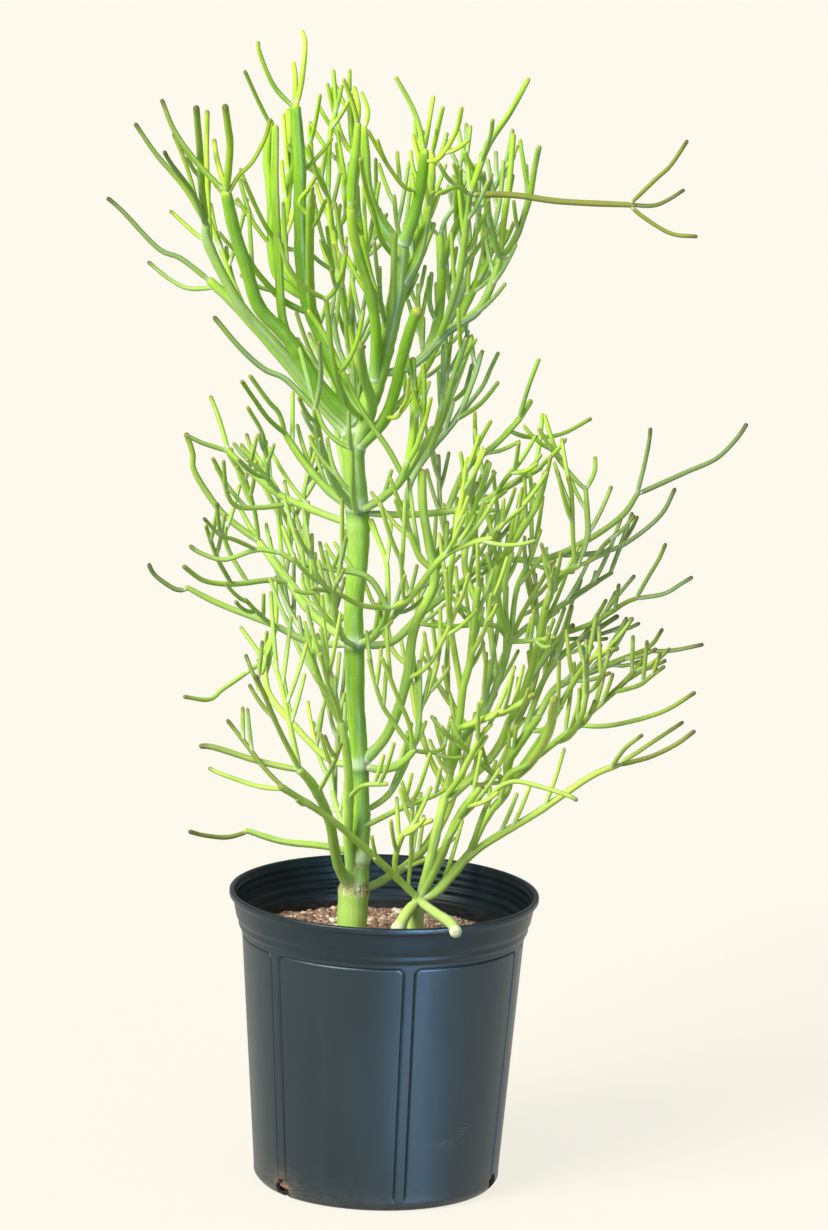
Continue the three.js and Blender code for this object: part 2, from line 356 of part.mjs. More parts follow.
// The trunk's girth: height and radius in turn. It swells where its whorls of stems leave.
const TRUNK_GIRTH = [208, 12.5, 245, 12.3, 262, 10, 280, 8.2, 320, 7.6, 360, 7.2, 410, 7.6, 440, 8.2,
  490, 7.9, 540, 9.4, 625, 9, 660, 7.4, 740, 6.6, 788, 6];
const girthAt = (z) => {
  let i = 2;
  while (i < TRUNK_GIRTH.length - 2 && z > TRUNK_GIRTH[i]) i += 2;
  const [z0, r0, z1, r1] = TRUNK_GIRTH.slice(i - 2, i + 2);
  return r0 + (r1 - r0) * Math.min(1, Math.max(0, (z - z0) / (z1 - z0)));
};

// The radius of a stem at a point of its chain, share being 0 at its root and 1 at its tip.
const radiusAt = ({ name, rootRadius, tipRadius }, share, z) =>
  (name === 'tall_plant trunk' ? girthAt(z) : rootRadius + (tipRadius - rootRadius) * share);

const TRACK_STEPS = 10;
const NODE_ZONE = 18;
const STEM_GAP = 0.8;
const SPAN = 56;
const ROOT_BACK = 3.5;
// A crowded stem is tried nearer and further back by these depths, or an arm is turned by them.
const SHIFTS = [0, 6, -6, 12, -12, 18, -18, 26, -26, 34, -34, 44, -44, 56, -56];
const ARM_TURN = 60;
const TWIG_TURN = 40;

// Does this track keep off every stem so far? Near its own root it may touch its kin.
const isClear = (track, radius, stems) => {
  const root = track[0];
  for (const other of stems) {
    for (let i = 0; i < TRACK_STEPS; i += 1) {
      if (track[i + 1].distanceTo(root) < NODE_ZONE) continue;
      for (let j = 0; j < TRACK_STEPS; j += 1) {
        const way = apart(track[i], track[i + 1], other.track[j], other.track[j + 1]);
        if (way < radius + other.rootRadius + STEM_GAP) return false;
      }
    }
  }
  return true;
};

// The points of a stem whose tip is at depth y: the depth runs evenly from the root to the tip.
const laid = (root, pairs, y) => {
  const run = [0];
  for (let i = 2; i < pairs.length; i += 2) {
    run.push(run.at(-1) + Math.hypot(pairs[i] - pairs[i - 2], pairs[i + 1] - pairs[i - 1]));
  }
  return run.map((r, i) => (i === 0 ? root.clone()
    : seen(pairs[2 * i], pairs[2 * i + 1], root.y + (y - root.y) * (r / run.at(-1)))));
};

// The nearest point of a chain of straight pieces.
const onChain = (chain, point) => {
  const feet = chain.slice(1).map((end, i) =>
    new THREE.Line3(chain[i], end).closestPointToPoint(point, true, new THREE.Vector3()));
  return nearest(feet, (foot) => foot.distanceTo(point));
};

// The few places along a stem where its section is drawn, the first one on its host's own chain.
const chainOf = (points, host) => {
  const length = lengthOf(sampled(points, 24));
  const spans = Math.max(2, Math.round(length / SPAN), Math.ceil((points.length - 1) / 2));
  const chain = sampled(points, spans);
  if (host) chain[0] = onChain(host.chain, chain[0]);
  return chain;
};

const addStem = (stems, name, host, rootRadius, tipRadius, shape) => {
  let points = shape(0);
  for (const shift of SHIFTS) {
    const tried = shape(shift);
    if (isClear(sampled(tried, TRACK_STEPS), rootRadius, stems)) {
      points = tried;
      break;
    }
  }
  const track = sampled(points, TRACK_STEPS);
  stems.push({ name, points, rootRadius, tipRadius, track, chain: chainOf(points, host) });
};

// How many of a host's 60 samples a root may sit at: the last few millimetres stay beyond it.
const sunkEnd = (host) => Math.floor(60 * (1 - ROOT_BACK / lengthOf(host.track))) + 1;

const growRows = (stems, rows, plant) => {
  for (const [name, parent, rootRadius, tipRadius, y, pairs] of rows) {
    const host = stems.find((stem) => stem.name === `${plant} ${parent}`);
    const start = seen(pairs[0], pairs[1], parent === null ? y : 0);
    const root = host ? nearest(sampled(host.points, 60).slice(0, sunkEnd(host)), (p) => {
      const k = 1 - p.y / EYE.y;
      return Math.hypot(EYE.x + (p.x - EYE.x) / k - pairs[0], EYE.z + (p.z - EYE.z) / k - pairs[1]);
    }) : start;
    addStem(stems, `${plant} ${name}`, host, rootRadius, tipRadius, (shift) =>
      laid(root, pairs, y + (host ? shift : 0)));
  }
};

// A stem that leaves its root outwards and turns up: reach along the ground, rise upwards.
const rising = (root, angle, reach, rise) => {
  const flat = new THREE.Vector3(Math.cos(angle), Math.sin(angle), 0);
  const at = (out, up) => root.clone().addScaledVector(flat, reach * out)
    .add(new THREE.Vector3(0, 0, rise * up));
  return [root.clone(), at(0.42, 0.2), at(0.78, 0.54), at(1, 1)];
};

// Each arm forks into two twigs at its tip and has a third one along its length.
const growArms = (stems, arms, plant) => {
  const draw = drawer(SEED[plant]);
  const between = (low, high) => low + (high - low) * draw();
  const twig = (host, share, angle, reach, rise) => {
    const root = along(host.points, Math.min(share, 1 - ROOT_BACK / lengthOf(host.track)));
    addStem(stems, `${plant} twig`, host, TWIG.rootRadius, TWIG.tipRadius, (shift) =>
      rising(root, angle + shift / TWIG_TURN, reach, rise));
  };
  for (const [hostName, height, compass, reach, rise] of arms) {
    const host = stems.find((stem) => stem.name === `${plant} ${hostName}`);
    const root = nearest(sampled(host.points, 60), (p) => Math.abs(p.z - height));
    const angle = (compass + between(-ARM.sway, ARM.sway)) * Math.PI / 180;
    addStem(stems, `${plant} arm`, host, ARM.rootRadius, ARM.tipRadius, (shift) =>
      rising(root, angle + shift / ARM_TURN, reach, rise));
    const arm = stems.at(-1);
    for (const side of [-1, 1]) {
      const length = between(TWIG.least, TWIG.most);
      const lean = between(0.3, 0.62);
      twig(arm, 1, angle + side * between(0.35, 0.9), length * lean, length * (1.05 - 0.6 * lean));
    }
    const length = between(TWIG.least, TWIG.most);
    const side = draw() < 0.5 ? -1 : 1;
    twig(arm, between(0.45, 0.7), angle + side * between(0.5, 1), length * 0.45, length * 0.85);
  }
};

// Mesh data of a closed geometry, its doubled corners merged and its flat triangles dropped.
const solidOf = (geometry) => {
  const bare = geometry.clone();
  bare.deleteAttribute('normal');
  bare.deleteAttribute('uv');
  const merged = mergeVertices(bare, 1e-4);
  const triangles = [];
  for (let i = 0; i < merged.index.count; i += 3) {
    const [a, b, c] = [0, 1, 2].map((k) => merged.index.getX(i + k));
    if (a !== b && b !== c && c !== a) triangles.push(a, b, c);
  }
  return new wasm.Manifold(new wasm.Mesh({
    numProp: 3,
    vertProperties: new Float32Array(merged.attributes.position.array),
    triVerts: new Uint32Array(triangles),
  }));
};

const geometryOf = (solid) => {
  const mesh = solid.getMesh();
  const geometry = new THREE.BufferGeometry();
  geometry.setAttribute('position', new THREE.BufferAttribute(new Float32Array(mesh.vertProperties), 3));
  geometry.setIndex(new THREE.BufferAttribute(new Uint32Array(mesh.triVerts), 1));
  return geometry.toNonIndexed();
};

const TIP_LENGTH = 2.2;
const ROOT_PINCH = 0.75;
const sidesFor = (radius) => (radius > 6 ? 8 : radius > 3.6 ? 6 : radius > 2.75 ? 5 : 4);

// A stem: a turned profile bent along the curve, pinched in at its root and blunt at its tip.
const stemSolid = (stem) => {
  const { chain } = stem;
  const spans = chain.length - 1;
  const profile = [new THREE.Vector2(0, 0), ...chain.map(({ z }, i) =>
    new THREE.Vector2((i === 0 ? ROOT_PINCH : 1) * radiusAt(stem, i / spans, z), i + 1)),
  new THREE.Vector2(0, spans + 2)];
  const geometry = new THREE.LatheGeometry(profile, sidesFor(stem.rootRadius));
  const position = geometry.attributes.position;
  const frames = [];
  let across = new THREE.Vector3(0.31, 0.95, 0.12);
  chain.forEach((centre, i) => {
    const ahead = chain[Math.min(i + 1, spans)].clone().sub(chain[Math.max(i - 1, 0)]).normalize();
    across = across.clone().addScaledVector(ahead, -across.dot(ahead)).normalize();
    frames.push({ centre, across, ahead, aside: across.clone().cross(ahead) });
  });
  for (let v = 0; v < position.count; v += 1) {
    const level = Math.round(position.getY(v));
    const frame = frames[Math.min(Math.max(level - 1, 0), spans)];
    const point = frame.centre.clone()
      .addScaledVector(frame.across, position.getX(v))
      .addScaledVector(frame.aside, position.getZ(v));
    if (level === spans + 2) point.addScaledVector(frame.ahead, TIP_LENGTH);
    position.setXYZ(v, point.x, point.y, point.z);
  }
  return solidOf(geometry);
};

// The straight foot of a stem in the soil, an upright prism with a flat end.
const FOOT_SIDES = 8;
const FOOT_OVERLAP = 3;
const footSolid = (stem) => {
  const [{ x, y, z }] = stem.points;
  const height = z + FOOT_OVERLAP - STEM_FOOT;
  const radius = radiusAt(stem, 0, z);
  const geometry = new THREE.CylinderGeometry(radius, radius, height, FOOT_SIDES);
  geometry.rotateX(Math.PI / 2);
  geometry.translate(x, y, STEM_FOOT + height / 2);
  return solidOf(geometry);
};

// A closed solid turned round Z from radius and height pairs that start and end on the axis.
const turned = (pairs, sides) => {
  const geometry = new THREE.LatheGeometry(pairs.map(([r, z]) => new THREE.Vector2(r, z)), sides);
  geometry.rotateX(Math.PI / 2);
  return geometry;
};

// The body wall's outer radius at a height.
const bodyRadius = (z) => BASE_RADIUS + (BODY_TOP_RADIUS - BASE_RADIUS) * z / BODY_TOP;

// A thin prism that cuts one groove down the body wall, following its taper.
const grooveCutter = (angle) => {
  const section = new THREE.Shape([
    new THREE.Vector2(-GROOVE.width / 2, 1), new THREE.Vector2(0, -GROOVE.depth),
    new THREE.Vector2(GROOVE.width / 2, 1),
  ]);
  const depth = GROOVE.top - GROOVE.foot;
  const geometry = new THREE.ExtrudeGeometry(section, { depth, bevelEnabled: false });
  const position = geometry.attributes.position;
  for (let v = 0; v < position.count; v += 1) {
    const z = position.getZ(v) + GROOVE.foot;
    position.setXYZ(v, bodyRadius(z) * FACET + position.getY(v), -position.getX(v), z);
  }
  geometry.rotateZ(angle);
  return solidOf(geometry);
};

const holeCutter = (angle) => {
  const geometry = new THREE.BoxGeometry(HOLE.reach, HOLE.width, HOLE.height);
  geometry.translate(BASE_RADIUS + HOLE.proud - HOLE.reach / 2, 0, HOLE.height / 2 - HOLE.below);
  geometry.rotateZ(angle);
  return solidOf(geometry);
};

// The pot: its outside from the base up to the lip, then its inside down to the floor.
const makePot = () => {
  const shell = solidOf(turned([
    [0, 0],
    [BASE_RADIUS - BASE_EDGE, 0],
    [bodyRadius(BASE_EDGE), BASE_EDGE],
    [BODY_TOP_RADIUS, BODY_TOP],
    [BODY_TOP_RADIUS + BEAD.out, BODY_TOP + BEAD.low],
    [BODY_TOP_RADIUS + BEAD.out, BODY_TOP + BEAD.high],
    [LIP_RADIUS - BAND.footInset, BAND.foot],
    [LIP_RADIUS - BAND.topInset, POT_HEIGHT - LIP.height - LIP.overhang],
    [LIP_RADIUS, POT_HEIGHT - LIP.height],
    [LIP_RADIUS, POT_HEIGHT - LIP.round],
    [LIP_RADIUS - LIP.round, POT_HEIGHT],
    [LIP_RADIUS - LIP.width, POT_HEIGHT],
    [LIP_RADIUS - BAND.topInset - WALL, POT_HEIGHT - LIP.height],
    [LIP_RADIUS - BAND.footInset - WALL, BAND.foot],
    [BODY_TOP_RADIUS + BEAD.out - WALL, BODY_TOP + BEAD.high],
    [BODY_TOP_RADIUS - WALL, BODY_TOP],
    [bodyRadius(FLOOR + BASE_EDGE) - WALL, FLOOR + BASE_EDGE],
    [BASE_RADIUS - BASE_EDGE - 1, FLOOR],
    [0, FLOOR],
  ], POT_SIDES));
  const cutters = [];
  for (let k = 0; k < RIB_COUNT; k += 1) {
    const middle = RIB_FIRST - Math.PI / 2 + k * 2 * Math.PI / RIB_COUNT;
    const half = GROOVE.halfGap / BODY_TOP_RADIUS;
    cutters.push(grooveCutter(middle - half), grooveCutter(middle + half));
    if (k % HOLE_EVERY === 1) cutters.push(holeCutter(middle));
  }
  return shell.subtract(wasm.Manifold.union(cutters));
};

// The widest the soil can be at a height, clear of the flat facets of the pot's inner wall.
const soilRadius = (z) => (bodyRadius(z) - WALL) * FACET - CLEARANCE;

// A bit of grit or bark: an eight-sided lump that lies in the surface.
const makeGrit = (draw, feet, grit) => {
  while (grit.length < GRIT.count) {
    const angle = draw() * 2 * Math.PI;
    const far = (soilRadius(SOIL_LEVEL) - GRIT.edge) * Math.sqrt(draw());
    const size = GRIT.least + (GRIT.most - GRIT.least) * draw();
    const at = new THREE.Vector3(far * Math.cos(angle), far * Math.sin(angle), SOIL_LEVEL + GRIT.proud);
    const crowded = feet.some(({ points: [foot] }) => Math.hypot(foot.x - at.x, foot.y - at.y) < FOOT_ROOM)
      || grit.some((other) => other.at.distanceTo(at) < size + other.size + 1);
    if (!crowded) grit.push({ at, size, turn: draw() * 3, flat: 0.6 + 0.4 * draw() });
  }
  return grit.map(({ at, size, turn, flat }) => {
    const lump = new THREE.OctahedronGeometry(size);
    lump.scale(1, flat, 0.8);
    lump.rotateX(turn / 4);
    lump.rotateZ(turn);
    lump.translate(at.x, at.y, at.z);
    return solidOf(lump);
  });
};

// The plain hole that the foot of a plant stands in.
const socketCutter = (foot) => {
  const [{ x, y, z }] = foot.points;
  const radius = radiusAt(foot, 0, z) + CLEARANCE / Math.cos(Math.PI / FOOT_SIDES);
  const height = POT_HEIGHT - SOCKET_BOTTOM;
  const socket = new THREE.CylinderGeometry(radius, radius, height, FOOT_SIDES);
  socket.rotateX(Math.PI / 2);
  socket.translate(x, y, SOCKET_BOTTOM + height / 2);
  return solidOf(socket);
};

// The soil fills the pot: a tapered plug with a gently waved top, grit proud of it and a socket
// for each plant.
const makeSoil = (feet) => {
  const geometry = turned([
    [0, FLOOR + CLEARANCE],
    [BASE_RADIUS - 2 * BASE_EDGE, FLOOR + CLEARANCE],
    [soilRadius(FLOOR + BASE_EDGE) - 1, FLOOR + BASE_EDGE + CLEARANCE],
    [soilRadius(SOIL_LEVEL - SOIL_EDGE), SOIL_LEVEL - SOIL_EDGE],
    ...SOIL_RINGS.map((share) => [soilRadius(SOIL_LEVEL) * share, SOIL_LEVEL]),
    [0, SOIL_LEVEL],
  ], SOIL_SIDES);
  const position = geometry.attributes.position;
  for (let v = 0; v < position.count; v += 1) {
    const [x, y, z] = [position.getX(v), position.getY(v), position.getZ(v)];
    if (z > SOIL_LEVEL - 1) position.setZ(v, z + SOIL_WAVE * Math.sin(x / 13 + 1) * Math.cos(y / 11));
  }
  const grit = makeGrit(drawer(SEED.grit), feet, []);
  const sockets = wasm.Manifold.union(feet.map(socketCutter));
  return wasm.Manifold.union([solidOf(geometry), ...grit]).subtract(sockets);
};

const stems = [];
growRows(stems, TALL_PLANT, 'tall_plant');
growArms(stems, TALL_ARMS, 'tall_plant');
growRows(stems, BUSHY_PLANT, 'bushy_plant');
growArms(stems, BUSHY_ARMS, 'bushy_plant');
const stemsOf = (plant) => stems.filter((stem) => stem.name.startsWith(plant));
const plantSolid = (plant) =>
  wasm.Manifold.union([...stemsOf(plant).map(stemSolid), footSolid(stemsOf(plant)[0])]);

const part = new THREE.Group();
const add = (name, solid, color, roughness) => {
  const material = new THREE.MeshStandardMaterial({ color, roughness, metalness: 0 });
  const mesh = new THREE.Mesh(geometryOf(solid), material);
  mesh.name = name;
  part.add(mesh);
};
add('nursery_pot', makePot(), 0x3b434b, 0.5);
add('potting_soil', makeSoil([stemsOf('tall_plant')[0], stemsOf('bushy_plant')[0]]), 0x8a6a58, 0.95);
add('tall_plant', plantSolid('tall_plant'), 0x86b83a, 0.55);
add('bushy_plant', plantSolid('bushy_plant'), 0x8fc63f, 0.55);

export default part;
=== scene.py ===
from functools import partial
import json
import math

import bmesh
import bpy
import numpy as np
from mathutils import Matrix, Vector, noise

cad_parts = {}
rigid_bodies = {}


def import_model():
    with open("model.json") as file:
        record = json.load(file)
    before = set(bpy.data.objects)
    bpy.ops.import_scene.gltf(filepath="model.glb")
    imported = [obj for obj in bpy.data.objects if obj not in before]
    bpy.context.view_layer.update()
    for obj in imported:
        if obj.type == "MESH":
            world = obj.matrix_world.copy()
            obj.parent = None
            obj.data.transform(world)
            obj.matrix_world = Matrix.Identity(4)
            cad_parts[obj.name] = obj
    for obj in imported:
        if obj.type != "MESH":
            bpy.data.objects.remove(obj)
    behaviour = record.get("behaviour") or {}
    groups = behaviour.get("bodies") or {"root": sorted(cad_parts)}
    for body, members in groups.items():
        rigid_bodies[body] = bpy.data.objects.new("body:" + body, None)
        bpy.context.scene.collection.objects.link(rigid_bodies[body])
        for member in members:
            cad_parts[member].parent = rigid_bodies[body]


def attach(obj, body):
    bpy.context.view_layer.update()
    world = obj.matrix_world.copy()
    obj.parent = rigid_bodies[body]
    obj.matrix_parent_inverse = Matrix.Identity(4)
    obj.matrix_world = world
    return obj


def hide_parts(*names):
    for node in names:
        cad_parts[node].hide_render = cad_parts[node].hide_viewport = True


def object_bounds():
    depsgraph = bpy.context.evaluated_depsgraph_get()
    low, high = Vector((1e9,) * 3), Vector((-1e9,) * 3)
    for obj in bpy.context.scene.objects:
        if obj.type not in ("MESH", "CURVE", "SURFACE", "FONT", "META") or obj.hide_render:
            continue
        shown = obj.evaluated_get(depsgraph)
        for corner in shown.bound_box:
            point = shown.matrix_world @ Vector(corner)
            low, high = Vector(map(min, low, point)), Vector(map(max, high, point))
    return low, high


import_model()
cad_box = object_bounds()

MM = 0.001

# Where the photograph's camera stood and looked, in millimetres and degrees, and its focal length
# and the photograph's height in pixels.
CAMERA = {"distance": 5500, "target": (17.304, 0, 476.943), "pitch": math.radians(11.791),
          "roll": math.radians(1.782), "focal": 6755, "photo": 1230, "sensor": 36}

# The pot, in millimetres as the CAD has it. The ribs are where their middles stand round it, and
# every second one has a drainage hole.
POT_HEIGHT = 245
LIP_RADIUS = 127
BODY_TOP_RADIUS = 116.5
BASE_RADIUS = 101
WALL = 2.6
FLOOR = 3
BODY_TOP = 213
RIB_COUNT = 6
RIB_PITCH = 2 * math.pi / RIB_COUNT
RIB_FIRST = math.radians(11.4) - math.pi / 2
RIBS = RIB_FIRST + RIB_PITCH * np.arange(RIB_COUNT)
PANEL = {"edge": 3.4, "top": 209.5, "corner": 7, "foot": 9, "depth": 0.5, "fade": 1.8}
GROOVE = {"inside": 1.2, "half": 1.3, "depth": 1.3}
HOLE = {"size": (16, 15, 17), "below": 1, "proud": 3, "round": 4}
# The middle of the wall between its two faces: heights and radii.
WALL_MIDDLE = ((0, 99.7), (213, 115.2), (220, 117.6), (223.5, 119.7), (238.5, 122.7), (245, 125))
INNER_RINGS = {"low": 206, "high": 240, "apart": 6, "out": 0.3}

# The soil's top and the crumbs that lie in it, in millimetres.
SOIL_LEVEL = 203
SOIL_CLEARANCE = 0.35
SOIL_WAVE = 1.4
SOIL_DIP = {"depth": 4, "from": 10, "to": 100}
CRUMBS = {"least": 0.8, "most": 4.2, "rim": 4.5, "below": 6, "a square metre": 90000.0}

# Two rubbed patches low on the pot's right, whose pale bluish colour is partly real scuffing and partly
# a painted highlight on a dent: degrees round from the front, height, reach across and up, in millimetres.
RUBBED_AND_GLINT = ((33, 56, 9, 3), (42, 66, 4, 8))

# The studio: a white surround, one broad light from the upper left, a cool softbox that only the
# sheen shows, and a floor that glows a little, as blown-out paper does.
WORLD = {"Color": "#FFFFFF", "Strength": 0.4}
SUN = {"colour": "#FFF8EC", "strength": 5.4, "spread": 32, "towards": (0.6, 0.62, -0.62)}
SOFTBOX = {"colour": "#ABCDF8", "watts": 180, "wide": 0.6, "tall": 1.1, "place": (1.27, -2.04, 0.56)}
FLOOR_SHADES = ((0.3, "#5C5C5C"), (0.7, "#5E5E5E"))
FLOOR_GLOW = {"Emission Color": "#FFFBEE", "Emission Strength": 0.82}

# The plants were measured as they are seen from the front, in the plane y = 0, in millimetres. A
# stem further back or nearer is pushed along the line of sight from this eye.
EYE = np.array((17.3, -5384, 1600.8))

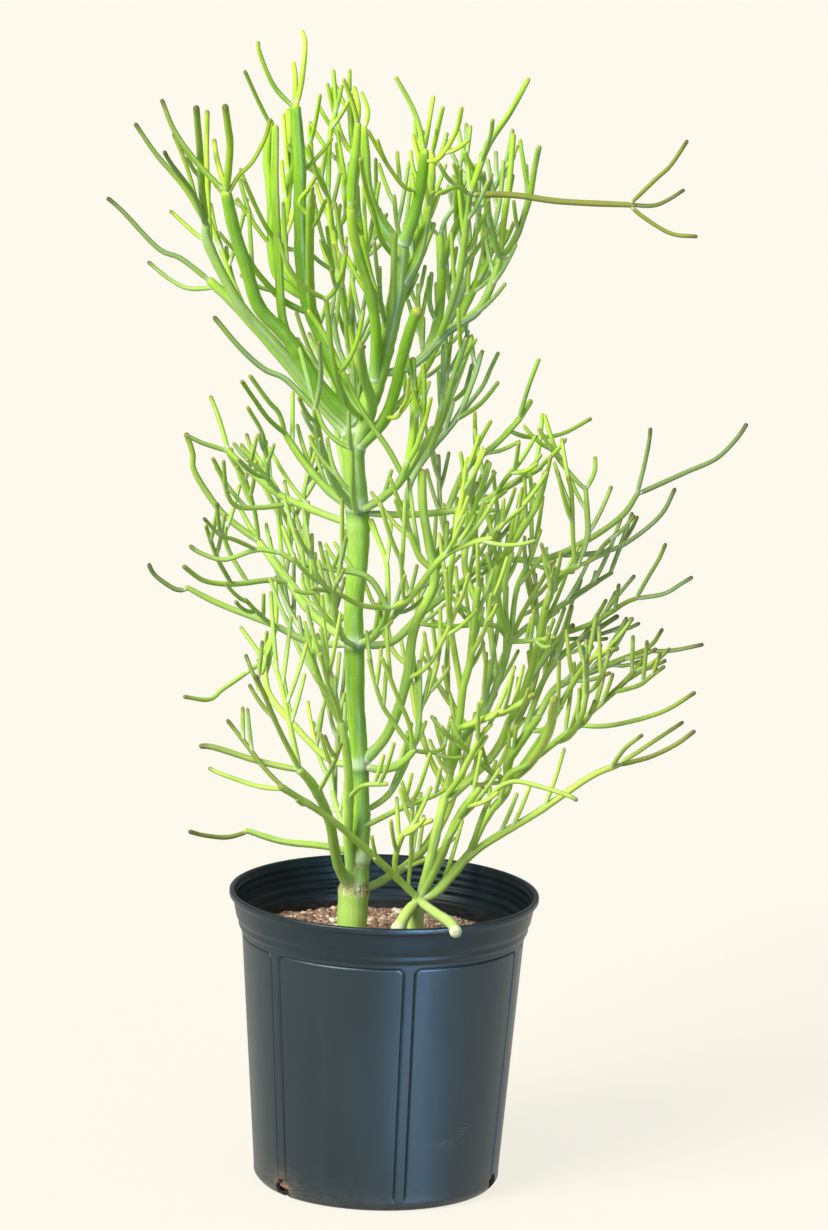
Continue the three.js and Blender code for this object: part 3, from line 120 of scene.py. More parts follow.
# One stem a row: name, stem that it grows from or "-" for the soil, radius at its root, radius at its
# tip, depth y of its tip, and the points that it passes through, u and w in turn, root first. A long
# row goes on in an indented line.
TALL_PLANT = """
trunk - 9 6 0 -26 208 -25 245 -21.5 275 -22 320 -24 360 -28 400 -30 440 -32 480 -30 520 -31 560 -36 612
  -30 637 -20 665 -11 705 -4 745 -2 788
A trunk 3.2 2.8 -38 -22 279 -50 281 -85 284 -117 293
A0 trunk 3.6 3.2 50 -25 241 -8 250 8 260 20 269 31 281 41 299 50 325
A2 A 2.4 2.1 -57 -117 293 -130 286 -149 287 -162 290
B trunk 4.6 3.8 -108 -25 243 -37 262 -42 280 -46 300 -54 320 -64 336 -74 346
B0 B 2.9 2.6 -135 -74 346 -107 351 -142 361 -155 362
B1 B 2.6 2.1 -172 -74 346 -90 378 -103 407 -111 423
B2 B 2.6 2.1 -75 -76 348 -82 385 -90 418 -97 435
B3 B 2.3 2 -150 -56 325 -44 352 -39 368
C trunk 4.2 3.4 -45 -24 247 -31 285 -31 320 -33 350 -37 375 -40 388
C1 C 2.4 2.1 -93 -35 322 -20 333 0 335
D trunk 3.2 2.7 51 -24 347 -48 354 -78 382 -99 408 -104 437
D1 D 2.3 2 66 -104 436 -107 440 -116 452 -124 463
D2 D 2.3 2 36 -104 436 -103 447 -102 460
E trunk 3.1 2.7 -15 -31 447 -67 452 -97 465 -141 481 -170 495
E1 E 2.4 2.1 -27 -170 495 -177 492 -194 503 -200 513
E2 E 2.3 2 -51 -92 463 -102 468 -112 477 -121 486
J trunk 3.9 3.3 69 -31 450 -65 475 -88 505 -113 537
J1 J 3.1 2.5 60 -113 537 -137 553 -153 572 -165 592 -166 605 -172 622
J2 J 2.5 2.1 99 -113 537 -120 549 -127 562
J3 J 2.4 2 39 -113 537 -115 560 -123 585 -130 596
J4 J 2.3 2 96 -72 482 -71 515 -77 545 -86 566
N trunk 3.3 2.9 -48 -31 450 -16 457 -8 468 -3 484
P N 2.9 2.5 -75 -3 484 -21 507 -50 513 -81 519 -95 527
P1 P 2.1 1.9 -96 -49 513 -45 526 -39 538
P2 P 2.1 1.9 -57 -31 511 -43 526 -50 536
P3 P 2.3 2 -60 -81 519 -87 535 -92 548
Q N 2.5 2.1 -105 -3 484 -27 484 -46 493 -67 497
R N 2.5 2.1 -21 -3 484 -6 517 -12 535 -20 556
S N 2.9 2.5 -69 -3 484 14 492 38 525 62 538 80 543
S1 S 2.1 1.9 -84 8 488 7 505 5 529
F J 2.7 2.3 -9 -85 500 -102 502 -130 498 -154 500 -172 512
F1 F 2.3 2 -33 -132 499 -143 517 -151 537 -154 546
F2 F 2.3 2 21 -118 500 -130 517 -137 531 -138 546
G P 2.5 2.1 -93 -92 525 -112 527 -138 518 -158 523 -167 529
G1 G 2.2 1.9 -120 -112 526 -131 535 -142 538 -156 552
H F 2.5 2.3 -69 -97 502 -95 476 -97 455 -104 436 -117 425
H1 H 2.3 2 -81 -117 425 -137 410 -148 401 -169 403
K trunk 3.3 2.9 24 -35 553 -58 558 -93 572 -117 590 -140 610
K1 K 2.4 2.1 12 -140 610 -149 611 -159 614 -172 620
K2 K 2.4 2 45 -140 610 -145 633 -153 653
K3 K 2.3 2 63 -93 572 -108 594 -119 613
K4 K 2.3 2 -12 -95 574 -108 590 -123 602
K5 K 2.3 2 -36 -103 580 -106 601 -110 623 -123 645
K6 K 2.5 2.1 -45 -82 566 -110 562 -132 564 -142 587 -150 602
L trunk 3.7 3 -51 -35 562 -55 578 -76 601 -94 627
L1 L 2.4 2.1 -75 -94 627 -106 636 -118 652 -128 666
L2 L 2.4 2.1 -24 -94 627 -97 640 -106 650 -122 671
M trunk 3.7 3.2 -99 -35 562 -49 582 -63 616 -68 647
M1 M 2.8 2.3 -126 -68 647 -92 668 -110 676 -130 693 -152 718
M2 M 2.6 2.2 -90 -68 647 -74 668 -82 695
M3 M 2.5 2.1 -144 -68 647 -64 670 -66 700
T trunk 4.2 3.6 -36 -24 352 -2 376 12 418 18 467 33 503 28 535 22 565 20 598
T1 T 3 2.3 -57 31 515 20 526 11 548 6 572
T2 T 2.4 2 -3 32 508 41 530 42 556
T3 T 2.3 2 -66 12 423 29 434 41 456 50 478 53 493
U trunk 3.5 3 18 -30 447 0 454 25 480 53 503 69 519
U1 U 2.4 2 36 69 519 80 535 83 551 86 567
U2 U 2.4 2 -9 60 510 65 535 65 567
V U 3 2.6 51 69 519 92 525 123 527 157 544 184 565 197 586
V1 V 2.5 2.1 60 197 586 234 602 258 614 274 631 282 644
V2 V 2.3 2 36 197 586 200 607 203 625 204 638
V3 V 2.6 2.2 93 131 530 163 533 186 541 214 565 226 589
W trunk 3.6 3.3 -24 -24 348 -8 347 6 350 15 357 22 366
W1 W 2.4 2 -51 22 366 1 390 -8 405 -19 440
W2 W 2.7 2.3 -9 22 366 24 390 23 440
W3 W 2.3 1.9 18 22 366 38 363 46 371 40 384
W4 W 2.4 2 -68 22 366 16 386 8 404 -8 441
X trunk 2.9 2.5 36 -28 303 0 325 12 347 22 374
Y trunk 2.7 2.3 -72 -28 300 12 315 35 325 47 332
Z C 3.2 2.3 -66 -39 384 -46 396 -56 415 -70 449
Z1 C 2.4 2 -93 -39 385 -44 400 -50 415 -58 443
Z2 C 2 1.9 -40 -40 385 -46 415 -54 445
a trunk 4.8 3.9 21 -36 620 -60 645 -96 686 -132 725 -158 749
a1 a 2.6 2.1 9 -158 749 -179 764 -198 772 -227 801 -240 812
a2 a 2.3 2 51 -150 741 -172 740 -188 747 -206 761
a3 a 2.6 2.2 66 -120 712 -136 744 -152 787
b trunk 4.9 3.8 -33 -35 628 -62 652 -95 690 -126 722 -142 746 -158 778 -160 795
b1 b 2.6 2.1 -45 -160 795 -177 821 -201 848 -219 873
b2 b 2.4 2 -81 -160 790 -170 816 -189 841 -195 851
b3 b 2.2 1.9 0 -159 780 -166 783 -189 803
c trunk 6.2 5 -87 -33 632 -62 660 -90 700 -115 726 -126 757 -137 789 -145 822
c1 c 2.7 2.1 -96 -145 822 -165 839 -186 866 -198 893
c2 c 3.2 2.9 -132 -145 822 -142 855 -144 872 -147 890
c3 c 2.7 2.3 -60 -145 822 -152 845 -155 862
c4 b 3.2 2.9 -114 -159 800 -164 822 -166 850 -170 888
c5 b 2.7 2.4 -6 -157 772 -158 800 -160 832 -161 860 -161 885
c6 c 2.1 1.9 -120 -143 815 -135 832 -124 844 -114 864 -110 880
d trunk 5.4 5 -30 -30 637 -50 670 -70 715 -80 747 -84 793 -86 845 -91 893
d1 d 2.7 2.2 -21 -91 893 -86 910 -84 940 -87 952
d2 d 2.4 2.1 -48 -91 893 -108 906 -120 932 -122 942
d3 d 2.6 2.3 -6 -91 893 -91 912 -93 926
d4 d 3.8 3.2 39 -79 741 -96 764 -95 816 -93 845 -96 888
d5 d 4.1 3.5 87 -77 735 -103 757 -108 816 -112 847 -110 879
d6 d5 2.2 1.9 105 -110 879 -121 895 -132 918
d7 d 3.7 3.2 -93 -72 720 -75 753 -76 800 -75 820
d8 d7 2.1 1.9 -117 -76 800 -85 813 -78 824 -72 835
d9 d 3 2.5 -69 -73 722 -95 732 -117 754 -129 772
d10 c 3.7 3.1 -34 -87 692 -96 717 -101 771 -105 825 -106 875
e trunk 3.3 2.7 72 -20 660 -40 700 -52 760 -58 789 -63 825
e1 e 2.3 2 93 -58 789 -48 803 -51 830 -57 862
e2 e 2.3 2 60 -63 825 -74 841 -79 875
e3 e 2.5 2.1 102 -63 825 -62 868 -58 890 -61 921
f trunk 4.7 3.9 -57 -20 662 -22 722 -40 784 -44 812
f1 f 4.2 3.4 -72 -44 812 -43 836 -41 859 -40 880
f2 f1 2.5 2.1 -90 -40 880 -44 893 -53 914
f3 f1 2.6 2.3 -51 -40 880 -40 892 -44 908
g trunk 4.3 3.5 -21 -4 779 -20 798 -30 825 -33 854 -35 876
g1 g 2.4 2 -6 -35 876 -32 888 -38 904
h trunk 4.8 4.3 -36 -2 785 7 803 13 838 14 860
h7 trunk 4 3.4 12 -4 742 10 768 17 800 20 830 20 858
h1 h 2.7 2.1 -45 14 860 9 878 2 895 -11 917
h2 h 2.5 2.1 -75 14 850 26 852 39 874 43 894
h3 h7 2.5 2.1 -12 20 858 24 874 28 894
h4 h 2.1 1.9 -3 12 828 5 845 3 858
h5 h 2.1 1.9 -66 12 826 0 827 -15 845 -32 873
h6 h 2.3 2 27 14 858 17 880 20 902
i trunk 3.9 3.3 9 -17 670 10 683 36 710 61 729 73 755 78 775
i1 i 3.1 2.7 0 78 775 89 788 99 820 103 847 106 865
i2 i 2.9 2.6 39 78 775 80 806 83 835 85 874
i3 i1 2.3 2.1 21 98 815 97 835 96 850
i4 i 2.5 2.2 -42 78 775 66 816 62 842
i5 i 2.3 2 -12 78 775 67 795 58 810 54 818
j i 3.1 2.9 -54 30 703 38 728 46 760 50 802 52 827
j1 j 3.1 2.4 -69 52 827 65 863 82 891 96 919
j2 j 2.5 2.1 -21 52 827 49 847 44 862 40 878
j3 j 2.1 1.9 -96 52 827 41 829 24 822
j4 j 2.8 2.7 -45 52 827 87 824 126 820 186 819
j5 j4 2.1 1.9 -63 186 819 201 841 212 852 225 873
j6 j4 2.1 1.9 -30 186 819 199 819 211 824 224 833
j7 j4 2.1 1.9 -54 186 819 191 810 214 797 236 795
j8 j1 2.3 2 -96 59 850 63 859 67 873 68 885
k i 4.2 3.6 63 20 694 29 718 31 757 28 792
k1 k 2.3 2 72 28 792 21 797 17 812
k2 k 2.5 2.1 96 28 792 34 805 49 823
k3 k 2.5 2.2 33 28 716 22 735 23 760
k7 k 3.4 3 -12 31 762 38 788 47 811 52 831 56 848
l i 3.8 3.2 69 44 716 52 736 66 766 71 793
l1 l 2.4 2.1 90 71 793 76 820 78 852
m trunk 2.9 2.5 39 -4 735 8 756 19 786 24 800
m1 trunk 3.3 2.9 -36 -14 700 -8 735 -8 790
n trunk 4.4 4 -63 -34 615 -22 645 -30 675 -34 700
o trunk 4.8 4.6 -75 -34 612 -13 635 -3 665 0 683 7 712 13 730
o1 o 2.3 2 -96 -12 640 -2 640 3 648 9 662
p trunk 3.5 3.1 -54 -35 560 -14 571 3 587 8 603
p1 p 2.7 2.3 -108 4 591 -8 614 -32 648 -58 699 -76 726
p2 p 3.2 2.8 -30 8 603 11 619 12 642 10 690
p3 p 2.7 2.3 -72 8 603 18 625 20 660 18 685
q trunk 3.1 2.7 -27 -34 556 12 560 49 565 69 572 92 587 118 603
q1 q 2.3 2 -39 118 603 130 618 136 627
q2 q 2.3 2 -3 111 600 115 625 116 647
q3 q 2.3 2 -57 80 580 91 596 99 606
r q 3 2.5 33 8 560 11 586 26 613 47 641 59 672 65 695
r1 r 2.4 2 51 47 641 66 666 73 682 79 696
r2 r 2.4 2 9 44 638 62 650 70 658 80 672
r3 r 2.4 2.1 66 28 615 34 640 35 664 37 698
r4 r 2.8 2.5 -12 24 610 35 640 43 674 52 703
s q 3 2.5 24 42 564 56 599 79 620 97 641 107 658
s1 s 2.3 2 6 97 641 104 668 112 692
s2 s 2.3 2 60 90 632 106 627 131 630 156 644
s3 s 2.3 2 -18 56 599 66 622 75 640"""
BUSHY_PLANT = """
stem - 8 5.6 -24 26 208 27 225 29 243
leg stem 4.6 5.2 -26 27 238 20 228 13 215 11 210
stub stem 3.6 4.6 -159 28 241 35 233 45 226 53 221 58 216 60 211
A stem 3.3 2.9 -99 28 241 8 258 -20 283 -50 307 -89 331
A1 A 2.4 2.1 -93 -89 331 -107 330 -136 339 -147 344
A2 A 2.4 2.1 -117 -89 331 -101 345 -120 369 -133 385
B A 2.7 2.4 -90 10 257 8 272 14 293 24 300 38 306
B1 A 2 1.9 -60 20 248 21 280 21 325
C stem 4.4 3.5 21 28 243 35 262 42 300 52 350
C5 stem 3.6 3.2 -58 30 242 43 268 58 308 76 335
C6 C5 2.4 2 -72 64 316 80 323 91 331
C1 C 3.4 2.9 27 52 350 60 375 78 398 91 436 97 460
C2 C 2.9 2.5 -27 48 325 60 345 75 377 84 389
C3 C 3.6 3.2 51 47 318 65 339 88 366 99 396
C4 C3 2.3 2 81 65 339 77 337 87 344
D stem 4.5 3.8 -36 30 239 42 245 54 259 72 283
E D 3.3 2.9 -27 57 265 80 286 122 314 165 346 190 358
E1 E 2.4 2.1 -42 188 357 203 361 217 366 235 376 250 388
E2 E 2.4 2 3 189 358 203 368 218 379 240 395
E3 E 2.3 2 -69 183 355 193 371 207 383
F D 3.5 3.1 -6 72 283 82 310 97 330 101 345
F1 F 3 2.4 -24 92 323 98 345 116 357 152 389 190 426 207 448
F2 F1 2.4 2 -51 152 389 181 390 221 402 249 420
F3 F1 2.3 2 6 190 426 204 436 213 440 224 446
F4 F1 2.3 2 -51 181 418 202 424 213 433 223 441
F5 D 2.5 2.1 -96 72 283 84 325 101 340 124 337 148 330 156 326
G F 4 3.4 15 98 336 98 356 106 371 123 397
F7 F 2.8 1.9 -30 100 340 84 348 66 364 55 375
G1 G 2.7 2.3 6 114 384 127 385 133 397 141 405
G2 G 3.2 2.6 54 123 397 133 418 150 428 176 440 209 455
G3 G2 2.3 2 42 211 455 213 460 220 472
G4 G2 2.3 2 69 211 455 228 454 254 460
H C3 3.4 3 -33 97 388 107 410 118 450 125 490 135 512 151 523
H1 H 2.7 2.4 -15 151 523 156 546 155 568 153 589
H2 H 2.4 2.1 -60 146 521 144 550 142 581 138 596
H3 H1 2.3 2 -3 153 589 160 600 160 613
H4 H1 2.3 2 -45 153 589 140 598 125 617 113 635
H5 H 2.3 2 9 151 523 161 528 170 540 181 551
H6 H 2.1 1.9 -66 124 485 129 499 127 525
J C3 2.9 2.5 72 99 396 107 414 126 446 148 474
J1 J 2.5 2.3 33 142 466 165 476 188 492 199 497
J2 J1 2.3 2 18 199 497 207 515 215 530 220 543
J3 J1 2.3 2 45 199 497 220 501 234 510 243 516
J4 J1 2.3 2 60 168 478 180 495 196 516
J5 J 2.3 2 93 138 460 160 463 183 471 193 478
K C1 2.9 2.4 84 97 460 110 470 136 488 159 505 178 518
K1 K 2.4 2 90 178 518 182 536 192 568
K2 K 2.1 1.9 105 155 502 161 508 164 518
L C1 3.5 3 -45 97 460 86 485 84 516 102 550 114 572 121 600
L1 L 2.4 2 -78 85 518 80 545 91 558 104 570
M C1 2.5 2.1 -33 97 458 84 470 64 470 42 468 22 470
M1 M 2.1 1.9 -51 64 470 55 482 52 497
N C1 2.7 2.3 39 97 460 100 500 109 523 118 552
N1 C1 2.5 2.1 66 97 460 105 480 120 508 125 519
N2 C1 2.5 2.1 6 97 460 91 490 92 515 96 532
N3 C1 2.4 2 -66 97 458 116 459 133 462
P C 3.6 3 -52 52 346 57 391 59 416 64 439 66 464 68 493 71 511
R P 3.2 2.7 -76 56 383 70 389 103 404 118 414
P1 P 3 2.5 -76 64 488 57 522 62 563 70 587 75 606
P2 P 2.9 2.5 -72 60 412 46 480 48 536 54 580 57 609
P3 P 2.3 2 -84 64 445 76 470 80 497
G5 G 2.9 2.4 84 106 375 123 422 136 444 152 459 184 482
F6 F 2.9 2.4 -46 99 338 120 371 133 393 148 423 163 445 185 455
F8 F 4.4 3.5 -70 101 342 117 358 131 385 134 412"""
# Twigs finer than the solids have, which the photograph shows in the crown, as rows like those.
CROWN_TWIGS = """
u1 d 2.3 2 -60 -86 773 -96 776 -108 787 -120 808 -130 830
u2 d5 2.1 1.9 40 -108 777 -124 798 -136 815
u3 b2 2.1 1.9 -60 -168 812 -174 832 -180 848 -188 866
u4 d 2.1 1.9 0 -85 836 -75 846 -66 857 -60 866
u5 e 2.1 1.9 40 -58 790 -60 808 -66 828 -72 842
u6 e 2.6 2.2 20 -42 712 -50 745 -58 765 -66 783
u7 f 2.4 2 -60 -28 735 -36 752 -48 775
u8 trunk 2.3 2 -30 -11 705 -15 722 -18 740 -19 763
u9 trunk 2.6 2.2 -60 -4 765 -18 784 -25 806 -33 830 -37 850"""

# Arms that the front view shows end on or hides: the stem that each leaves, the height where it
# leaves, its compass angle in degrees (0 to the right, 90 to the back), its reach and its rise.
TALL_ARMS = (
    ("trunk", 272, 110, 110, 40), ("trunk", 350, 104, 138, 70), ("trunk", 449, 62, 142, 72),
    ("trunk", 451, 116, 134, 80), ("trunk", 452, -104, 96, 66), ("trunk", 556, 56, 132, 76),
    ("trunk", 559, 104, 146, 84), ("trunk", 563, -124, 104, 74), ("trunk", 620, 48, 124, 100),
    ("trunk", 624, 96, 140, 112), ("trunk", 640, -100, 112, 118), ("trunk", 690, 74, 104, 132),
    ("trunk", 712, 122, 100, 128), ("i", 704, 78, 82, 100),
)
BUSHY_ARMS = (
    ("C", 292, 82, 112, 70), ("C", 330, 110, 102, 84), ("C3", 350, 66, 104, 76),
    ("F1", 372, -70, 74, 60), ("C1", 420, 96, 94, 84),
)
ARM = {"radii": (2.9, 2.5), "sway": 6, "turn": 60}
TWIG = {"radii": (2.4, 2), "long": (46, 88), "turn": 40, "lean": (0.3, 0.62), "spread": (0.35, 0.9)}
# The third twig of an arm: how far along the arm it leaves, and how far aside.
THIRD_TWIG = {"share": (0.45, 0.7), "spread": (0.5, 1)}
# How many sprigs, finer than the solids have, are strewn along the longer stems of each plant.
SPRIGS = {"tall_plant": 420, "bushy_plant": 210}
SPRIG = {"radii": (2.3, 1.9), "host": 48, "least": 22, "most": 56, "apart": 5, "reach": 22,
         "crowd": 6, "behind": 4, "gap": 8, "look": 110, "rise": 0.3,
         "bare": ("trunk", "stem", "stub", "leg")}
SEED = {"tall_plant": 4021, "bushy_plant": 977, "soil": 5501}

# The trunk's girth: height and radius in turn. It swells where its whorls of stems leave.
TRUNK_GIRTH = ((208, 12.5), (245, 12.3), (262, 10), (280, 8.2), (320, 7.6), (360, 7.2), (410, 7.6),
               (440, 8.2), (490, 7.9), (540, 9.4), (625, 9), (660, 7.4), (740, 6.6), (788, 6))

# How stems keep clear of each other: the steps that each is tested at, how near its root it may
# touch, the gap that it keeps, how far short of its host's tip it leaves, and the shifts it tries.
TRACK_STEPS = 10
NODE_ZONE = 18
STEM_GAP = 0.8
ROOT_BACK = 3.5
SHIFTS = (0, 6, -6, 12, -12, 18, -18, 26, -26, 34, -34, 44, -44, 56, -56)


def drawer(seed):
    """Repeatable draws between 0 and 1."""
    state = seed

    def draw():
        nonlocal state
        state = (state * 16807) % 2147483647
        return state / 2147483647

    return draw


def norms(ways):
    return np.linalg.norm(ways, axis=-1)


def seen(u, w, y):
    """The real point at depth y that is seen from the eye at u, w in the plane y = 0."""
    k = 1 - y / EYE[1]
    return np.array((EYE[0] + (u - EYE[0]) * k, y, EYE[2] + (w - EYE[2]) * k))


def seen_from(points):
    """Where the eye sees points, as u, w in the plane y = 0."""
    k = 1 - points[..., 1:2] / EYE[1]
    return EYE[[0, 2]] + (points[..., [0, 2]] - EYE[[0, 2]]) / k


def along(points, shares):
    """Points on the smooth curve through the given ones, at shares of it from 0 at the root to 1."""
    shares = np.asarray(shares, float)
    last = len(points) - 1
    first, final = 2 * points[0] - points[1], 2 * points[-1] - points[-2]
    wide = np.concatenate([[first], points, [final]])
    i = np.minimum((shares * last).astype(int), last - 1)
    t = (shares * last - i)[..., None]
    a, b, c, d = wide[i], wide[i + 1], wide[i + 2], wide[i + 3]
    return 0.5 * (2 * b + (c - a) * t + (2 * a - 5 * b + 4 * c - d) * t ** 2
                  + (3 * b - a - 3 * c + d) * t ** 3)


def sampled(points, count):
    return along(np.asarray(points), np.arange(count + 1) / count)


def run_along(line):
    """How far along a line each of its points lies."""
    return np.concatenate([[0], np.cumsum(norms(np.diff(line, axis=0)))])


def dot(a, b):
    return (a * b).sum(-1)


def apart(a, b, c, d):
    """The shortest ways between the segments a-b and c-d, in arrays."""
    u, v, w = b - a, d - c, a - c
    uu, uv, vv, uw, vw = dot(u, u), dot(u, v), dot(v, v), dot(u, w), dot(v, w)
    wide = uu * vv - uv * uv
    s = np.where(wide > 1e-9, np.clip((uv * vw - vv * uw) / np.maximum(wide, 1e-12), 0, 1), 0)
    t = np.clip((uv * s + vw) / vv, 0, 1)
    s = np.clip((uv * t - uw) / uu, 0, 1)
    return norms(w + u * s[..., None] - v * t[..., None])


class Stem:
    """One stem: the points that it runs through in millimetres, its radii and what it grows from."""

    def __init__(self, plant, name, host, radii, points):
        self.plant, self.name, self.host = plant, name, host
        self.root_radius, self.tip_radius = radii
        self.points = points
        self.track = sampled(points, TRACK_STEPS)
        self.length = float(norms(np.diff(self.track, axis=0)).sum())
        self.children = []
        if host:
            host.children.append(self)


def segments(stems):
    """Where the stems' segments start and end, and how thick they are."""
    tracks = np.array([stem.track for stem in stems]).reshape(-1, TRACK_STEPS + 1, 3)
    radii = np.repeat([stem.root_radius for stem in stems], TRACK_STEPS)
    return tracks[:, :-1].reshape(-1, 3), tracks[:, 1:].reshape(-1, 3), radii


def is_clear(track, radius, starts, ends, radii, zone=NODE_ZONE):
    """Does this track keep off the given segments? Near its own root it may touch them."""
    far = norms(track[1:] - track[0]) >= zone
    ways = apart(track[:-1][far][:, None], track[1:][far][:, None], starts[None], ends[None])
    return bool((ways >= radius + radii + STEM_GAP).all())


def add_stem(stems, plant, name, host, radii, shape):
    """Adds the first of a stem's shapes that is clear of the others, or its plain one."""
    points = shape(0)
    others = segments(stems)
    for shift in SHIFTS:
        tried = shape(shift)
        if is_clear(sampled(tried, TRACK_STEPS), radii[0], *others):
            points = tried
            break
    stems.append(Stem(plant, name, host, radii, np.array(points)))
    return stems[-1]


def laid(root, pairs, y):
    """The points of a stem whose tip is at depth y: the depth runs evenly from root to tip."""
    flat = np.array(pairs).reshape(-1, 2)
    run = run_along(flat)
    return [root] + [seen(u, w, root[1] + (y - root[1]) * share)
                     for (u, w), share in list(zip(flat, run / run[-1]))[1:]]


def root_on(host, place):
    """The place on a host, short of its tip, that the eye sees nearest to a u, w."""
    end = int(60 * (1 - ROOT_BACK / host.length)) + 1
    line = sampled(host.points, 60)[:end]
    return line[np.argmin(norms(seen_from(line) - place))]


def grow_rows(stems, table, plant, grown):
    for row in table.strip().replace("\n  ", " ").split("\n"):
        name, parent, *numbers = row.split()
        root_radius, tip_radius, y, *pairs = map(float, numbers)
        host = grown.get(parent)
        root = root_on(host, pairs[:2]) if host else seen(*pairs[:2], y)
        grown[name] = add_stem(stems, plant, name, host, (root_radius, tip_radius),
                               lambda shift: laid(root, pairs, y + (shift if host else 0)))


def rising(root, angle, reach, rise):
    """A stem that leaves its root outwards and turns up."""
    flat = np.array((math.cos(angle), math.sin(angle), 0))
    up = np.array((0, 0, 1))
    steps = ((0, 0), (0.42, 0.2), (0.78, 0.54), (1, 1))
    return [root + flat * reach * out + up * rise * high for out, high in steps]


def grow_arms(stems, arms, plant, grown):
    """Each arm forks into two twigs at its tip and has a third one along its length."""
    draw = drawer(SEED[plant])

    def between(low, high):
        return low + (high - low) * draw()

    def add(name, host, sizes, root, angle, reach, rise):
        return add_stem(stems, plant, name, host, sizes["radii"],
                        lambda shift: rising(root, angle + shift / sizes["turn"], reach, rise))

    def add_twig(host, share, angle, reach, rise):
        root = along(host.points, min(share, 1 - ROOT_BACK / host.length))
        add("twig", host, TWIG, root, angle, reach, rise)

    for host_name, height, compass, reach, rise in arms:
        host = grown[host_name]
        line = sampled(host.points, 60)
        root = line[np.argmin(abs(line[:, 2] - height))]
        angle = math.radians(compass + between(-ARM["sway"], ARM["sway"]))
        arm = add("arm", host, ARM, root, angle, reach, rise)
        for side in (-1, 1):
            length = between(*TWIG["long"])
            lean = between(*TWIG["lean"])
            turn = angle + side * between(*TWIG["spread"])
            add_twig(arm, 1, turn, length * lean, length * (1.05 - 0.6 * lean))
        length = between(*TWIG["long"])
        side = -1 if draw() < 0.5 else 1
        share = between(*THIRD_TWIG["share"])
        turn = angle + side * between(*THIRD_TWIG["spread"])
        add_twig(arm, share, turn, length * 0.45, length * 0.85)


def grow_sprigs(stems, plant, count):
    """Strews short twigs along the longer stems, where the eye already sees a crowd of stems, but
    not in front of a thick one. Each leaves ahead and aside and bends upward."""
    draw = drawer(SEED[plant] + 7)
    hosts = [i for i, stem in enumerate(stems) if stem.plant == plant and stem.name not in SPRIG["bare"]
             and stem.length > SPRIG["host"]]
    lines = np.array([seen_from(stem.track) for stem in stems])
    starts, ends, radii = segments(stems)
    owners = np.repeat(np.arange(len(stems)), TRACK_STEPS)
    low, high = (np.array(corner) / MM for corner in cad_box)
    thick = np.concatenate([sampled(stem.points, 40) for stem in stems
                            if stem.root_radius > SPRIG["behind"]])
    thick_seen = seen_from(thick)
    while count:
        own = hosts[int(draw() * len(hosts))]
        share = 0.3 + 0.6 * draw()
        root, ahead = along(stems[own].points, [share, share + 0.03])
        way = (ahead - root) / norms(ahead - root)
        turn, lean = 2 * math.pi * draw(), 0.3 + 0.35 * draw()
        side = np.cross(way, (math.cos(turn), math.sin(turn), 0.3))
        out = way * math.cos(lean) + side / norms(side) * math.sin(lean)
        length = SPRIG["least"] + (SPRIG["most"] - SPRIG["least"]) * draw()
        rise = np.array((0, 0, SPRIG["rise"] * length))
        points = np.array([root + out * length * 0.9 * t + rise * t * t for t in (0, 0.4, 0.75, 1)])
        away = norms(lines - seen_from(points[-1])).min(axis=1)
        boxed = (points[-1] > low).all() and (points[-1] < high).all()
        if (away < SPRIG["reach"]).sum() < SPRIG["crowd"] or not boxed:
            continue
        track = sampled(points, TRACK_STEPS)
        near = norms(seen_from(track)[:, None] - thick_seen) < SPRIG["gap"]
        if (near & (track[:, None, 1] < thick[:, 1])).any():
            continue
        by = (norms(starts - root) < SPRIG["look"]) & (owners != own)
        if is_clear(track, SPRIG["radii"][0], starts[by], ends[by], radii[by], SPRIG["apart"]):
            stems.append(Stem(plant, "sprig", stems[own], SPRIG["radii"], points))
            starts, ends = np.concatenate([starts, track[:-1]]), np.concatenate([ends, track[1:]])
            radii = np.concatenate([radii, np.full(TRACK_STEPS, SPRIG["radii"][0])])
            owners = np.concatenate([owners, np.full(TRACK_STEPS, len(stems) - 1)])
            count -= 1


def grow_plants():
    stems = []
    tall, bushy = {}, {}
    for plant, rows, arms, grown in (("tall_plant", TALL_PLANT, TALL_ARMS, tall),
                                     ("bushy_plant", BUSHY_PLANT, BUSHY_ARMS, bushy)):
        grow_rows(stems, rows, plant, grown)
        grow_arms(stems, arms, plant, grown)
    grow_rows(stems, CROWN_TWIGS, "tall_plant", tall)
    for plant, count in SPRIGS.items():
        grow_sprigs(stems, plant, count)
    return stems


# How the stems are drawn, in millimetres: rings this far apart, a base pinched over a short reach, or
# flared where a thick stem leaves the trunk, a swelling where children leave, an end that narrows
# where it forks, a rounded tip, and a slow unevenness in girth. The thin ones are a little finer than
# the solids, by shares at radii.
RING_STEP = 4.6
BASE_RINGS = (-0.8, 0.5, 1.4, 2.4, 4.4)
DOME = (1, 0.6, 0.28, 0.07)
# Sprigs are strewn by the hundred, so they have few rings.
SPRIG_RING_STEP = 8
SPRIG_BASE_RINGS = (-0.8, 1.2)
SPRIG_DOME = (1, 0.4, 0.07)
PINCH = {"share": 0.8, "reach": 3.5}
FLARE = {"share": 1.3, "reach": 9}
SWELL = {"more": 0.11, "reach": 4.2}
FORK = {"near": 7, "share": 0.72, "reach": 22}
FINER = ((2.2, 3.4), (0.86, 1))
UNEVEN = {"share": 0.035, "length": 23}
SIDES = {"Thick Sides": 14, "Thin Sides": 8}
THICK = 3.9
STEM_FOOT = 190

